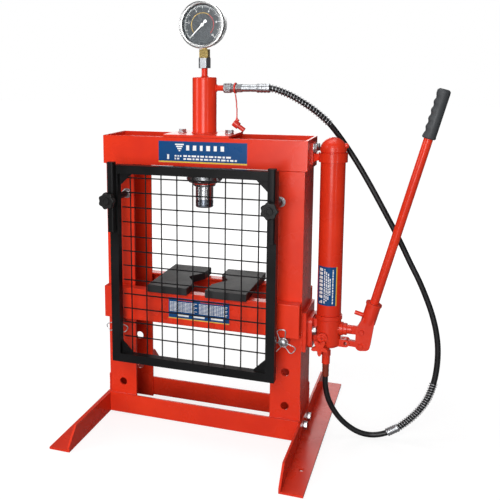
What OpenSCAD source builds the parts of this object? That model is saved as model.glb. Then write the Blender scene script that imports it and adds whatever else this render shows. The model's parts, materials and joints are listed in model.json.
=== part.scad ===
// Bench-top hydraulic shop press: welded frame, detached hand pump, hose, gauge,
// pinned bed with two arbor plates, and a lift-off wire guard.
// Axes: +X to the pump side, +Y to the back, +Z up. The origin is on the bench,
// under the middle of the frame.

/* [Frame] */
// Width of the head beam over its end plates
beam_w = 500; // [496:1:510]
// Height of the top of the head beam above the bench
frame_h = 715; // [712:1:722]
// Height of the head beam's walls
beam_h = 69; // [64:1:72]
// Width of a column's flanges
col_w = 72; // [68:1:74]
// Front-to-back size of a column
col_d = 118; // [116:2:120]
// Thickness of a column's steel
col_t = 5.5; // [4:0.5:6]
// Length of a foot
foot_l = 580; // [520:10:620]
// Height of a base rail
rail_h = 50; // [44:1:54]

/* [Bed] */
// Height of the lowest bed pin hole
hole_z0 = 84; // [80:1:88]
// Vertical pitch of the bed pin holes
hole_pitch = 84; // [82:1:85]
// Radius of a bed pin hole
hole_r = 9.8; // [9.8:0.1:10.2]
// Radius of a bed pin
pin_r = 9.5; // [9:0.1:9.5]
// Height of the bed channels
bed_h = 80; // [76:1:82]
// Depth of a bed channel, front to back
bed_d = 26.5; // [24:0.5:28]
// Thickness of the arbor plates
plate_t = 18; // [15:1:20]

/* [Ram] */
// Sideways place of the ram on the beam
ram_x = -10; // [-14:1:10]
// Outer radius of the ram cylinder
cyl_r = 29; // [28:0.5:30]
// Radius of the chromed piston
piston_r = 21.5; // [20:0.1:21.5]

/* [Gauge] */
// Outer radius of the gauge bezel
bezel_r = 55; // [54:0.5:56]
// Height of the gauge's centre
gauge_z = 975; // [974:1:978]

/* [Pump] */
// Sideways place of the pump's axis
pump_x = 297; // [296:1:300]
// Outer radius of the reservoir tube
tank_r = 28; // [27:0.5:28.5]
// Radius of the plunger
plunger_r = 10.7; // [10:0.1:10.7]
// Lean of the handle away from upright
handle_tilt = 14.7; // [13:0.1:16]
// Radius of the handle bar
bar_r = 10; // [9:0.1:10]

/* [Guard] */
// Half the width of the guard over its stiles
guard_x = 199; // [196:1:202]
// Width of the guard's square tube
tube_w = 20; // [18:1:21]
// Height of the guard's lower edge
guard_z0 = 173; // [170:1:176]
// Height of the guard's upper edge
guard_z1 = 654; // [650:1:656]
// Radius of a mesh wire
wire_r = 1.6; // [1.4:0.1:1.7]

/* [Hose] */
// Outer diameter of the hose
hose_d = 13; // [12:0.5:13.5]

/* [Hidden] */
$fn = 48;
red = "#d8321f";
black = "#17181a";
zinc = "#b9bcc0";
e = 1;                                  // how far a cutter runs past a face

end_t = 6;                              // beam end plate
beam_t = 4;                             // beam walls
col_x = beam_w / 2 - end_t;             // outer face of a column
col_in = col_x - col_w;                 // inner edge of a column's flanges
col_y = col_d / 2;
beam_z = frame_h - beam_h;
pin_x = 208;
hole_zs = [for (i = [0 : 2]) hole_z0 + i * hole_pitch];
pin_z = hole_zs[2];
bed_z = pin_z + 10;
bed_top = bed_z + bed_h;
bed_t = 5;
bed_x = 243.5;
bed_y0 = col_y + 0.5;                   // inner edge of a bed channel's flanges
bed_y1 = bed_y0 + bed_d;
foot_w = 52;
foot_t = 5;
foot_hole = [274, 190];
foot_hole_r = 5.5;
bolt_r = 5.2;                           // clearance hole of the M10 bolts
foot_bolt = [24, 26];                   // each bolt's Y and Z
lower_bolt = [23, 265];
top_bolt = [17, 694];

lower_plate_t = 14;
ram_plate_t = 6;
ram_bolts = [-56, 62];
cyl_top = 854;
cyl_bottom = 598;
bore_r = 24.5;
port_z = 828;
nose_z = 540;
piston_z0 = 560;
piston_top = 830;

gauge_y = -28;                          // front of the bezel
stem_z0 = 899;

tank_z0 = 303;
tank_z1 = 686;
block_z0 = 225;
plunger_z = 270;
gland_x = 322;                          // seat of the plunger's gland
eye_x = 350.5;                          // where the plunger turns into its flat eye
lock_u = 71;                            // lock screw, up the handle from its pivot
lock_r = 5;
link_a = [338, 238];                    // fixed pivot of the pump link, X and Z
link_b = [372, 236];                    // pivot of the handle on the link
clevis_u = 34;                          // from that pivot up to the plunger's pin
eye_pin = [link_b[0] + 2, plunger_z];
relief = [288, 253];                     // relief plug, X and Z
valve = [284, 232];                      // release valve's stem, X and Z
outlet_x = 293;
outlet_z = 148;

guard_y0 = -141;                        // front of the stiles
guard_y1 = guard_y0 + tube_w;
stud_x = 190;
stud_z = 574;
stud_r = 5;
guard_lift = 60;
knob_r = 20;

// The hose's middle line, from the ram's coupler to the pump's outlet
hose_route = [
    [148, 0, 828], [154, 0, 828], [172, 3, 822], [197, 8, 811], [222, 13, 796], [246, 20, 779],
    [265, 26, 763], [282, 33, 746], [299, 40, 724], [318, 45, 697], [337, 47, 669],
    [356, 48, 639], [375, 49, 607], [394, 49, 574], [412, 49, 542], [431, 49, 508],
    [451, 49, 470], [473, 49, 426], [492, 48, 390], [509, 48, 352], [524, 47, 313],
    [535, 46, 273], [541, 45, 231], [541, 43, 189], [536, 40, 150], [525, 36, 113],
    [508, 33, 82], [486, 30, 55], [462, 26, 33], [438, 22, 18], [416, 19, 10],
    [394, 16, 8], [372, 12, 13], [350, 9, 25], [329, 5, 44], [312, 2, 68],
    [300, 0, 95], [294, 0, 121], [293, 0, 141], [293, 0, 148]];
upper_guard = [0, 7];                   // first and last route point inside each spring
lower_guard = [24, 28];
ferrule_end = 29;
sleeve_r = [7.2, 9.5];                  // inner and outer radius of a spring guard

// The cap tether's middle line, from its ring on the coupler down to the dust cap
tether_route = [[66, 0, 814], [67, 0, 807], [68, 0, 800], [69, 0, 793], [69, 0, 786],
                [70, 0, 779], [70, 0, 772], [70, 0, 765], [70, 0, 758]];

// ---- shared shapes ----

module x_cyl(r, x0, x1, fn = 48) {
    translate([x0, 0, 0]) rotate([0, 90, 0]) cylinder(r = r, h = x1 - x0, $fn = fn);
}

module y_cyl(r, y0, y1, fn = 48) {
    translate([0, y1, 0]) rotate([90, 0, 0]) cylinder(r = r, h = y1 - y0, $fn = fn);
}

module span(lo, hi) {
    translate(lo) cube(hi - lo);
}

// The shapes that follow, at both places of a pair of bolts along X
module bolt_pair(at) {
    for (s = [-1, 1]) translate([0, s * at[0], at[1]]) children();
}

module bolt_holes(at, x0, x1) {
    bolt_pair(at) x_cyl(bolt_r, x0 - e, x1 + e);
}

module mirror_x() {
    children();
    mirror([1, 0, 0]) children();
}

function unit(v) = v / norm(v);
function slope(p, i) =
    unit(p[min(i + 1, len(p) - 1)] - p[max(i - 1, 0)]);
function ring(c, t, r, n) =
    let (a = unit(cross(t, [0, 1, 0])), b = cross(t, a))
    [for (k = [0 : n - 1]) c + r * (cos(360 * k / n) * a + sin(360 * k / n) * b)];

// A round bar of radius r along the points p
module swept_bar(p, r, n = 10) {
    m = len(p);
    rings = [for (i = [0 : m - 1]) each ring(p[i], slope(p, i), r, n)];
    sides = [for (i = [0 : m - 2]) for (k = [0 : n - 1])
        [(i + 1) * n + k, (i + 1) * n + (k + 1) % n, i * n + (k + 1) % n, i * n + k]];
    first = [for (k = [0 : n - 1]) k];
    last = [for (k = [n - 1 : -1 : 0]) (m - 1) * n + k];
    polyhedron(rings, concat(sides, [first, last]), convexity = 8);
}

// A sleeve round the hose from one of its route's points to another
module hose_sleeve(first, last, n = 10) {
    m = last - first + 1;
    inner = [for (i = [first : last])
        each ring(hose_route[i], slope(hose_route, i), sleeve_r[0], n)];
    outer = [for (i = [first : last])
        each ring(hose_route[i], slope(hose_route, i), sleeve_r[1], n)];
    q = m * n;                          // the outer rings follow the inner ones
    wall_in = [for (i = [0 : m - 2]) for (k = [0 : n - 1])
        [i * n + k, i * n + (k + 1) % n, (i + 1) * n + (k + 1) % n, (i + 1) * n + k]];
    wall_out = [for (i = [0 : m - 2]) for (k = [0 : n - 1])
        [q + (i + 1) * n + k, q + (i + 1) * n + (k + 1) % n, q + i * n + (k + 1) % n,
         q + i * n + k]];
    start = [for (k = [0 : n - 1]) [(k + 1) % n, k, q + k, q + (k + 1) % n]];
    w = (m - 1) * n;
    stop = [for (k = [0 : n - 1])
        [w + k, w + (k + 1) % n, q + w + (k + 1) % n, q + w + k]];
    polyhedron(concat(inner, outer), concat(wall_in, wall_out, start, stop),
        convexity = 8);
}

// ---- frame ----

module foot() {
    difference() {
        translate([col_x, foot_l / 2, 0]) rotate([90, 0, 0]) linear_extrude(foot_l)
            polygon([[0, 0], [foot_w, 0], [foot_w, foot_t], [foot_t, foot_t],
                [foot_t, 50], [0, 50]]);
        // the upright leg is cut down to a slope at each end
        for (s = [0, 1]) mirror([0, s, 0])
            translate([col_x - e, 0, 0]) rotate([90, 0, 90]) linear_extrude(foot_t + e)
                polygon([[foot_l / 2 - 40, 50 + e], [foot_l / 2 - 38, 50],
                    [foot_l / 2, 12], [foot_l / 2 + e, 12], [foot_l / 2 + e, 50 + e]]);
        for (y = [-1, 1]) translate([foot_hole[0], y * foot_hole[1], -e])
            cylinder(r = foot_hole_r, h = foot_t + 2 * e);
        bolt_holes(foot_bolt, col_x, col_x + foot_t);
    }
}

module left_foot() {
    color(red) mirror([1, 0, 0]) foot();
}

module right_foot() {
    color(red) foot();
}

module column() {
    top = frame_h - 10;
    difference() {
        linear_extrude(top) polygon([
            [col_in, -col_y], [col_x, -col_y], [col_x, col_y], [col_in, col_y],
            [col_in, col_y - col_t], [col_x - col_t, col_y - col_t],
            [col_x - col_t, col_t - col_y], [col_in, col_t - col_y]]);
        for (z = hole_zs) translate([pin_x, 0, z])
            y_cyl(hole_r, -col_y - e, col_y + e);
        bolt_holes(foot_bolt, col_x - col_t, col_x);
        translate([stud_x, 0, stud_z]) y_cyl(stud_r + 0.2, -col_y - e, 0);
        bolt_holes(top_bolt, col_x - col_t, col_x);
    }
}

module left_column() {
    color(red) mirror([1, 0, 0]) column();
}

module right_column() {
    color(red) column();
}

module base_rail() {
    span([-bed_x, col_y, 2], [bed_x, col_y + 6, rail_h + 2]);
}

module front_base_rail() {
    color(red) mirror([0, 1, 0]) base_rail();
}

module rear_base_rail() {
    color(red) base_rail();
}

module head_beam() {
    y1 = col_y + beam_t;
    color(red) difference() {
        union() {
            for (s = [0, 1]) mirror([0, s, 0])
                span([-col_x, col_y, beam_z], [col_x, y1, frame_h]);
            mirror_x() span([col_x, -y1, beam_z], [beam_w / 2, y1, frame_h]);
            span([-col_in, -col_y, beam_z], [col_in, col_y, beam_z + beam_t]);
            span([ram_x - 60, -col_y, beam_z - lower_plate_t],
                [ram_x + 60, col_y, beam_z]);
        }
        translate([ram_x, 0, beam_z - lower_plate_t - e])
            cylinder(r = cyl_r + 0.3, h = lower_plate_t + beam_t + 2 * e);
        bolt_holes(top_bolt, col_x, beam_w / 2);
    }
}

// ---- ram ----

module ram_plate() {
    color(red) difference() {
        span([ram_x - 83, -col_y - beam_t - 3, frame_h],
            [ram_x + 79, col_y + beam_t, frame_h + ram_plate_t]);
        translate([ram_x, 0, frame_h - e])
            cylinder(r = cyl_r + 0.3, h = ram_plate_t + 2 * e);
        for (x = ram_bolts) translate([ram_x + x, 0, frame_h - e])
            cylinder(r = bolt_r, h = ram_plate_t + 2 * e);
    }
}

module ram_cylinder() {
    color(red) difference() {
        translate([ram_x, 0, 0]) rotate_extrude($fn = 64) polygon([
            [0, cyl_top - 12], [bore_r, cyl_top - 12], [bore_r, cyl_bottom],
            [cyl_r, cyl_bottom], [cyl_r, cyl_top - 2], [cyl_r - 2, cyl_top],
            [0, cyl_top]]);
        translate([0, 0, port_z]) x_cyl(7, ram_x + 10, ram_x + cyl_r + e);
    }
}

module ram_ring_nut() {
    z1 = beam_z - lower_plate_t;
    color(zinc) translate([ram_x, 0, 0]) difference() {
        rotate_extrude($fn = 64) polygon([[cyl_r + 0.1, 602], [38, 602], [43.5, 609],
            [43.5, z1], [cyl_r + 0.1, z1]]);
        // hook spanner slots
        for (a = [0 : 60 : 300]) rotate([0, 0, a + 30])
            span([40.5, -4, 600], [50, 4, z1 + e]);
    }
}

module ram_gland() {
    color("#8c8f94") translate([ram_x, 0, 0]) rotate_extrude($fn = 64) polygon([
        [piston_r + 0.05, 592], [26, 592], [27, 593.5], [27, cyl_bottom],
        [bore_r - 0.05, cyl_bottom], [bore_r - 0.05, 616], [piston_r + 0.05, 616]]);
}

module ram_piston() {
    color("#c9ccd0") translate([ram_x, 0, 0]) rotate_extrude($fn = 64) polygon([
        [0, piston_z0], [piston_r, piston_z0], [piston_r, piston_top - 16],
        [bore_r - 0.08, piston_top - 16], [bore_r - 0.08, piston_top],
        [13, piston_top], [13, piston_z0 + 14], [0, piston_z0 + 14]]);
}

module ram_nose() {
    color("#7d8187") translate([ram_x, 0, 0]) rotate_extrude($fn = 64) polygon([
        [0, nose_z], [piston_r - 2.5, nose_z], [piston_r, nose_z + 2.5],
        [piston_r, piston_z0 - 2], [piston_r - 1.2, piston_z0 - 1],
        [piston_r - 1.2, piston_z0], [0, piston_z0]]);
}

// The outer shape of the coil spring that pulls the piston back
module ram_return_spring() {
    z0 = piston_z0 + 14;
    z1 = cyl_top - 12;
    color(zinc) translate([ram_x, 0, z0]) difference() {
        cylinder(r = 11.5, h = z1 - z0);
        translate([0, 0, -e]) cylinder(r = 8, h = z1 - z0 + 2 * e);
    }
}

// ---- gauge ----

module gauge_nut() {
    color(zinc) translate([ram_x, 0, cyl_top + 20.5])
        cylinder(r = 15, h = stem_z0 - cyl_top - 20.5, $fn = 6);
}

module gauge_stem() {
    color("#b08d3e") translate([ram_x, 0, stem_z0]) {
        span([-10.3, -10.3, 0], [10.3, 10.3, 20]);
        translate([0, 0, 20]) cylinder(r = 6, h = 12);
    }
}

// A ring or dish turned about the gauge's own axis from [radius, depth] points
module gauge_turned(profile) {
    translate([ram_x, gauge_y, gauge_z]) rotate([-90, 0, 0])
        rotate_extrude($fn = 96) polygon(profile);
}

module gauge_case() {
    color("#c4c6c8") difference() {
        gauge_turned([[0, 40], [0, 43], [47, 43], [51.5, 39], [51.5, 11], [49, 11],
            [49, 38], [47, 40]]);
        translate([ram_x, 0, stem_z0 + 20 - e]) cylinder(r = 6.2, h = 20);
    }
}

module gauge_bourdon_tube() {
    color("#b08d3e") translate([ram_x, gauge_y + 26, gauge_z]) {
        rotate([90, 0, 0]) rotate([0, 0, -60]) rotate_extrude(angle = 240)
            translate([32, 0]) square([4, 9], center = true);
        span([-7, -6, -43.5], [7, 8, -24.5]);
    }
}

module gauge_dial() {
    color("#1c2830") difference() {
        gauge_turned([[2, 11.5], [48.7, 11.5], [48.7, 13], [2, 13]]);
        for (a = [0, 180]) translate([ram_x, 0, gauge_z]) rotate([0, a, 0])
            translate([38, 0, 0]) y_cyl(1.2, gauge_y + 11, gauge_y + 14);
    }
}

module gauge_pointer() {
    color("white") translate([ram_x, gauge_y, gauge_z]) {
        y_cyl(4, 7, 9.5);
        y_cyl(1.2, 9.5, 20);
        rotate([0, -45, 0]) rotate([90, 0, 0]) translate([0, 0, -8.6])
            linear_extrude(1) polygon([[-41, -0.5], [-41, 0.5], [-10, 1.6], [12, 2.6],
                [12, -2.6], [-10, -1.6]]);
    }
}

module gauge_glass() {
    color("#dfe8ea", 0.4) gauge_turned([[0, 2], [51.6, 2], [51.6, 4], [0, 4]]);
}

module gauge_bezel() {
    color("#d6d7d8") gauge_turned([[47.5, 1], [48.5, 0], [bezel_r - 2, 0],
        [bezel_r, 2], [bezel_r, 13], [51.8, 13], [51.8, 2], [47.5, 2]]);
}

// ---- oil line at the ram ----

module ram_nipples() {
    color(red) {
        translate([0, 0, port_z]) x_cyl(6.8, ram_x + 25.2, 38);
        translate([ram_x, 0, cyl_top]) cylinder(r = 7.3, h = 20.5);
    }
}

module coupler_collar() {
    color(zinc) translate([0, 0, port_z]) difference() {
        x_cyl(12, 38.3, 57);
        x_cyl(8.3, 38.3 - e, 57 + e);
    }
}

module coupler_body() {
    color(zinc) translate([0, 0, port_z]) {
        x_cyl(8, 38.6, 57.5);
        x_cyl(11, 57.5, 62, fn = 6);
        x_cyl(9.2, 62, 70);
        x_cyl(11, 70, 82, fn = 6);
        x_cyl(8.5, 82, 118);
        x_cyl(10.5, 118, 148);
    }
}

module hose() {
    color("#1b1c1e") swept_bar(hose_route, hose_d / 2);
}

module upper_spring_guard() {
    color(zinc) hose_sleeve(upper_guard[0], upper_guard[1]);
}

module lower_spring_guard() {
    color(zinc) hose_sleeve(lower_guard[0], lower_guard[1]);
}

module hose_ferrule() {
    color(zinc) hose_sleeve(lower_guard[1], ferrule_end);
}

module outlet_sleeve() {
    color("#7a2a18") translate([outlet_x, 0, outlet_z]) cylinder(r = 8, h = 32);
}

module outlet_fitting() {
    color(red) translate([outlet_x, 0, outlet_z + 32]) {
        cylinder(r = 9.5, h = 20);
        translate([0, 0, 20]) cylinder(r = 11, h = 14, $fn = 6);
        translate([0, 0, 34]) cylinder(r = 8, h = block_z0 - outlet_z - 66);
    }
}

module cap_tether() {
    color(red) {
        translate([0, 0, port_z]) difference() {
            x_cyl(13, 64, 68);
            x_cyl(10.8, 64 - e, 68 + e);
        }
        swept_bar(tether_route, 1.5, n = 8);
    }
}

module dust_cap() {
    color(red) translate([70, 0, 742]) rotate([0, 35, 0]) difference() {
        union() {
            x_cyl(8.5, -9, 5);
            x_cyl(5.5, 5, 22);
            translate([-4, 0, 0]) cylinder(r = 3.2, h = 12.5);
        }
        x_cyl(6.5, -10, 2);
    }
}

// ---- pump ----

module pump_top_bracket() {
    z = 663;
    color(red) difference() {
        union() {
            span([beam_w / 2, -24, z - 6], [beam_w / 2 + 5, 24, frame_h - 10]);
            hull() {
                span([beam_w / 2 + 4, -16, z], [beam_w / 2 + 5, 16, z + 19]);
                span([pump_x - tank_r - 4, -7, z + 4], [pump_x - tank_r, 7, z + 17]);
            }
            translate([pump_x, 0, z]) cylinder(r = tank_r + 4.5, h = 21, $fn = 64);
        }
        bolt_holes(top_bolt, beam_w / 2, beam_w / 2 + 5);
        translate([pump_x, 0, z - e])
            cylinder(r = tank_r + 0.1, h = 21 + 2 * e, $fn = 64);
    }
}

module pump_lower_bracket() {
    color(red) difference() {
        span([col_x, -col_y + 2, 222], [col_x + 10, col_y - 2, 316]);
        bolt_holes(lower_bolt, col_x, col_x + 10);
    }
}

// A hex bolt along X from the shank's start to the head's seat
module x_bolt(x0, x1, head = 9.5) {
    x_cyl(5, x0, x1);
    x_cyl(head, x1, x1 + 6.4, fn = 6);
}

// The bolts of the feet, the ram plate and the pump
module frame_bolts() {
    color(zinc) {
        mirror_x() bolt_pair(foot_bolt) x_bolt(col_x - col_t - 12, col_x + foot_t);
        for (x = ram_bolts) translate([ram_x + x, 0, 0]) {
            translate([0, 0, frame_h - 14]) cylinder(r = 5, h = 14 + ram_plate_t);
            translate([0, 0, frame_h + ram_plate_t]) cylinder(r = 10, h = 7, $fn = 6);
        }
        bolt_pair(lower_bolt) x_bolt(col_x + 0.5, col_x + 20);
        bolt_pair(top_bolt) x_bolt(beam_w / 2 - 12, beam_w / 2 + 5, head = 8);
    }
}

module reservoir_tube() {
    color(red) translate([pump_x, 0, 0]) difference() {
        rotate_extrude($fn = 64) polygon([[0, tank_z0], [tank_r, tank_z0],
            [tank_r, tank_z1], [0, tank_z1]]);
        translate([0, 0, tank_z0 + 6])
            cylinder(r = tank_r - 2.5, h = tank_z1 - tank_z0, $fn = 64);
    }
}

module pump_cap() {
    r = tank_r + 2;
    dome_z = frame_h + 4 - r;
    color(red) {
        translate([pump_x, 0, 0]) rotate_extrude($fn = 64) union() {
            translate([0, tank_z1]) square([r, dome_z - tank_z1 + e]);
            intersection() {
                translate([0, dome_z]) circle(r = r, $fn = 96);
                translate([0, dome_z]) square([r, r]);
            }
        }
        translate([pump_x, 0, 700]) x_cyl(4.5, r - 6, r + 4);
    }
}

module pump_block() {
    x0 = col_x + 10;
    color(red) difference() {
        union() {
            translate([pump_x, 0, block_z0]) rotate_extrude($fn = 64) polygon([
                [0, 0], [21, 0], [26, 3], [29, 9], [29, 67], [31, 69], [31, 78], [0, 78]]);
            // mounting flange and its web
            translate([x0, 0, 262]) rotate([90, 0, 90]) linear_extrude(10)
                hull() for (y = [-24, 24]) for (z = [-26, 24])
                    translate([y, z]) circle(r = 12, $fn = 32);
            span([x0 + 10, -15, 236], [pump_x, 15, 292]);
            // valve boss on the front
            translate([relief[0], 0, relief[1]]) y_cyl(12, -35, 0);
            // gland boss
            translate([0, 0, plunger_z]) x_cyl(17, pump_x, gland_x);
            // fork for the pump link
            span([pump_x + 10, -12, 229], [link_a[0], 12, 247]);
            translate([link_a[0], 0, link_a[1]]) y_cyl(9, -12, 12);
        }
        span([328, -5.9, 220], [360, 5.9, 252]);
        translate([link_a[0], 0, link_a[1]]) y_cyl(4.15, -13, 13);
        translate([0, 0, plunger_z]) {
            x_cyl(plunger_r + 0.06, pump_x - 5, gland_x + e);
            x_cyl(17.5, gland_x, gland_x + 12);
        }
        bolt_holes(lower_bolt, x0, x0 + 10);
        bolt_pair(lower_bolt) x_cyl(11, x0 + 10, x0 + 20);
        translate([relief[0], 0, relief[1]]) y_cyl(7.2, -36, -26);
        translate([valve[0], 0, valve[1]]) y_cyl(4.1, -36, -18);
        // flat under the release knob
        span([262, -36, 205], [306, -30.5, 241]);
    }
}

module pump_gland() {
    color(red) translate([0, 0, plunger_z]) difference() {
        union() {
            x_cyl(16, gland_x, gland_x + 9);
            x_cyl(14, gland_x + 9, gland_x + 18);
        }
        x_cyl(plunger_r + 0.06, gland_x - e, gland_x + 18 + e);
    }
}

module relief_plug() {
    color(red) translate([relief[0], 0, relief[1]]) difference() {
        y_cyl(7, -36.5, -26);
        y_cyl(3.2, -37.5, -31, fn = 6);
    }
}

// Five-pointed cast wheel on the release valve's stem
module release_knob() {
    color(red) translate([valve[0], 0, valve[1]]) {
        y_cyl(4, -38, -20);
        difference() {
            rotate([90, 0, 0]) translate([0, 0, 37.5]) linear_extrude(9)
                polygon([for (k = [0 : 9]) let (r = k % 2 == 0 ? 20 : 9.5)
                    [r * sin(36 * k + 36), r * cos(36 * k + 36)]]);
            y_cyl(3, -47, -43, fn = 6);
        }
        y_cyl(7, -37.5, -31);
    }
}

// The plunger ends in a flat eye whose window leaves the clevis pin its rise and fall
module plunger() {
    color(red) difference() {
        intersection() {
            translate([0, 0, plunger_z]) union() {
                x_cyl(plunger_r, pump_x + 3, eye_pin[0]);
                translate([eye_pin[0], 0, 0]) y_cyl(plunger_r, -6, 6);
            }
            union() {
                span([290, -20, 250], [eye_x, 20, 290]);
                span([eye_x, -6, 250], [400, 6, 290]);
            }
        }
        span([eye_pin[0] - 5.5, -7, plunger_z - 7.5], [eye_pin[0] + 5.5, 7, plunger_z + 7.5]);
    }
}

module pump_link() {
    len_l = link_b[0] - link_a[0];
    color(red) translate([link_a[0], 0, link_a[1]]) rotate([0, 3.4, 0]) difference() {
        union() {
            y_cyl(8.5, -5.5, 5.5);
            span([0, -5.5, -7], [len_l, 5.5, 7]);
            translate([len_l, 0, 0]) y_cyl(8.5, -5.5, 5.5);
        }
        y_cyl(4.15, -6.5, 6.5);
        translate([len_l, 0, 0]) y_cyl(4.15, -6.5, 6.5);
    }
}

// The handle's own frame: its origin is the pivot on the link, its Z runs up the bar
module on_handle() {
    translate([link_b[0], 0, link_b[1]]) rotate([0, handle_tilt, 0]) children();
}

module handle_socket() {
    color(red) difference() {
        union() {
            on_handle() {
                rotate([90, 0, 0]) translate([0, 0, -13]) linear_extrude(26) hull() {
                    circle(r = 11, $fn = 40);
                    translate([10, 4]) circle(r = 11, $fn = 40);
                    translate([0, 62]) circle(r = 14, $fn = 40);
                    translate([-8, clevis_u]) circle(r = 12, $fn = 40);
                }
                translate([0, 0, 58]) cylinder(r = 16.5, h = 49);
                translate([0, 0, 102]) cylinder(r = 18.2, h = 5);
            }
        }
        on_handle() {
            span([-40, -6.6, -20], [40, 6.6, 50]);
            translate([0, 0, 62]) cylinder(r = bar_r + 0.1, h = 50);
            y_cyl(4.15, -14, 14);
            translate([0, 0, lock_u]) x_cyl(lock_r + 0.1, -20, 0);
        }
        translate([eye_pin[0], 0, eye_pin[1]]) y_cyl(4.05, -14, 14);
    }
}

module clevis_pins() {
    color(red) {
        for (p = [link_b, eye_pin]) translate([p[0], 0, p[1]]) {
            y_cyl(4, -15, 15);
            y_cyl(6, -17, -13.1);
            y_cyl(6, 13.1, 15.5);
        }
    }
}

module socket_lock_screw() {
    color(red) on_handle() translate([0, 0, lock_u]) difference() {
        x_cyl(lock_r, -35, -bar_r - 0.2);
        x_cyl(2.4, -36, -31, fn = 6);
    }
}

module handle_bar() {
    color(red) on_handle() translate([0, 0, 62.2]) cylinder(r = bar_r, h = 538);
}

module handle_grip() {
    color("#4c5054") on_handle() difference() {
        translate([0, 0, 502]) rotate_extrude() polygon([[0, 0], [13.5, 0],
            [14.5, 2], [14.5, 106], [11, 110], [0, 110]]);
        translate([0, 0, 501]) cylinder(r = bar_r + 0.05, h = 99.4);
    }
}

// ---- bed ----

module bed_channel() {
    translate([-bed_x, 0, 0]) rotate([90, 0, 90]) linear_extrude(2 * bed_x) polygon([
        [bed_y0, bed_z], [bed_y1, bed_z], [bed_y1, bed_top], [bed_y0, bed_top],
        [bed_y0, bed_top - bed_t], [bed_y1 - bed_t, bed_top - bed_t],
        [bed_y1 - bed_t, bed_z + bed_t], [bed_y0, bed_z + bed_t]]);
}

module bed_front_channel() {
    color(red) mirror([0, 1, 0]) bed_channel();
}

// The rear channel carries the two spacers that tie it to the front one
module bed_rear_channel() {
    color(red) {
        bed_channel();
        mirror_x() span([150, -bed_y1 + bed_t, bed_z + bed_t + 6],
            [156, bed_y1 - bed_t, bed_top - bed_t - 6]);
    }
}

module arbor_plate() {
    color("#4a4b4d") translate([0, 0, bed_top]) linear_extrude(plate_t) polygon([
        [22.5, -100], [122.5, -100], [122.5, 100], [22.5, 100],
        [22.5, 44], [50, 0], [22.5, -44]]);
}

module left_arbor_plate() {
    mirror([1, 0, 0]) arbor_plate();
}

module right_arbor_plate() {
    arbor_plate();
}

// One round-cornered wire loop of the spring clip, standing out from the pin
module clip_loop() {
    bend = [[8, -2], [25, -10], [29, -6], [30, 0], [29, 6], [25, 10], [8, 2]];
    swept_bar([for (p = bend) [p[0], -bed_y1 - 3, p[1]]], 1.3, n = 8);
}

module bed_pin() {
    translate([pin_x, 0, pin_z]) {
        rotate([90, 0, 0]) rotate_extrude() polygon([[0, -72], [8, -72],
            [pin_r, -70.5], [pin_r, bed_y1 + 5], [8.2, bed_y1 + 7.5], [5, bed_y1 + 9],
            [0, bed_y1 + 9.5]]);
        for (a = [100, 215, -35]) rotate([0, -a, 0]) clip_loop();
    }
}

module left_bed_pin() {
    color(zinc) mirror([1, 0, 0]) bed_pin();
}

module right_bed_pin() {
    color(zinc) bed_pin();
}

// ---- guard ----

module guard_frame() {
    x0 = guard_x - tube_w - 1;
    color(black) difference() {
        union() {
            mirror_x() span([x0, guard_y0, guard_z0], [guard_x, guard_y1, guard_z1]);
            for (z = [guard_z0, guard_z1 - tube_w])
                span([-x0, guard_y0, z], [x0, guard_y1, z + tube_w]);
            // corner gussets
            mirror_x() for (s = [0, 1])
                translate([x0, guard_y1 - 4, s == 0 ? guard_z0 + tube_w : guard_z1 - tube_w])
                    rotate([90, 0, 0]) mirror([0, s, 0]) linear_extrude(3)
                        polygon([[0, 0], [-30, 0], [0, 30]]);
        }
        // the slot that lets the guard rise on its studs
        mirror_x() {
            span([stud_x - stud_r - 0.6, guard_y0 - e, stud_z - guard_lift],
                [stud_x + stud_r + 0.6, guard_y1 + e, stud_z]);
            translate([stud_x, 0, stud_z]) y_cyl(stud_r + 0.6, guard_y0 - e, guard_y1 + e);
            translate([stud_x, 0, stud_z - guard_lift])
                y_cyl(stud_r + 0.6, guard_y0 - e, guard_y1 + e);
        }
    }
}

module guard_mesh() {
    y = guard_y1 + wire_r + 0.1;
    color(black) {
        for (i = [-4 : 4]) translate([i * 38.7, y, guard_z0 + 8])
            cylinder(r = wire_r, h = guard_z1 - guard_z0 - 16, $fn = 16);
        for (i = [0 : 11]) translate([0, y + 2 * wire_r + 0.2, 231 + i * 35.5])
            x_cyl(wire_r, -guard_x + 22, guard_x - 22, fn = 16);
    }
}

// Studs, nuts, spacers and front bars that hold the guard off the columns
module guard_mounts() {
    mirror_x() translate([stud_x, 0, stud_z]) {
        color(zinc) y_cyl(stud_r, -176, -col_y + col_t + 8);
        color(zinc) difference() {
            union() {
                y_cyl(11, -col_y - 9, -col_y, fn = 6);
                y_cyl(9, -col_y + col_t, -col_y + col_t + 7, fn = 6);
            }
            y_cyl(stud_r, -80, 0);
        }
        color(black) difference() {
            y_cyl(7.5, guard_y1 + 0.4, -col_y - 9);
            y_cyl(stud_r, -130, -60);
        }
        color(black) difference() {
            span([-8.5, guard_y0 - 16.4, -77], [8.5, guard_y0 - 0.4, 88]);
            y_cyl(stud_r, -170, -130);
        }
    }
}

// Seven-lobed hand knob with a hub behind it
module guard_knob() {
    color(black) translate([stud_x, 0, stud_z]) difference() {
        union() {
            rotate([90, 0, 0]) translate([0, 0, 166]) linear_extrude(14) union() {
                circle(r = knob_r - 3.5, $fn = 48);
                for (k = [0 : 6]) rotate(k * 360 / 7) translate([knob_r - 6, 0])
                    circle(r = 6, $fn = 24);
            }
            y_cyl(10, -166, guard_y0 - 16.8);
            y_cyl(9, -183, -180);
        }
        y_cyl(stud_r + 0.06, -176.2, -140);
    }
}

module left_knob() {
    mirror([1, 0, 0]) guard_knob();
}

module right_knob() {
    guard_knob();
}

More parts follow.
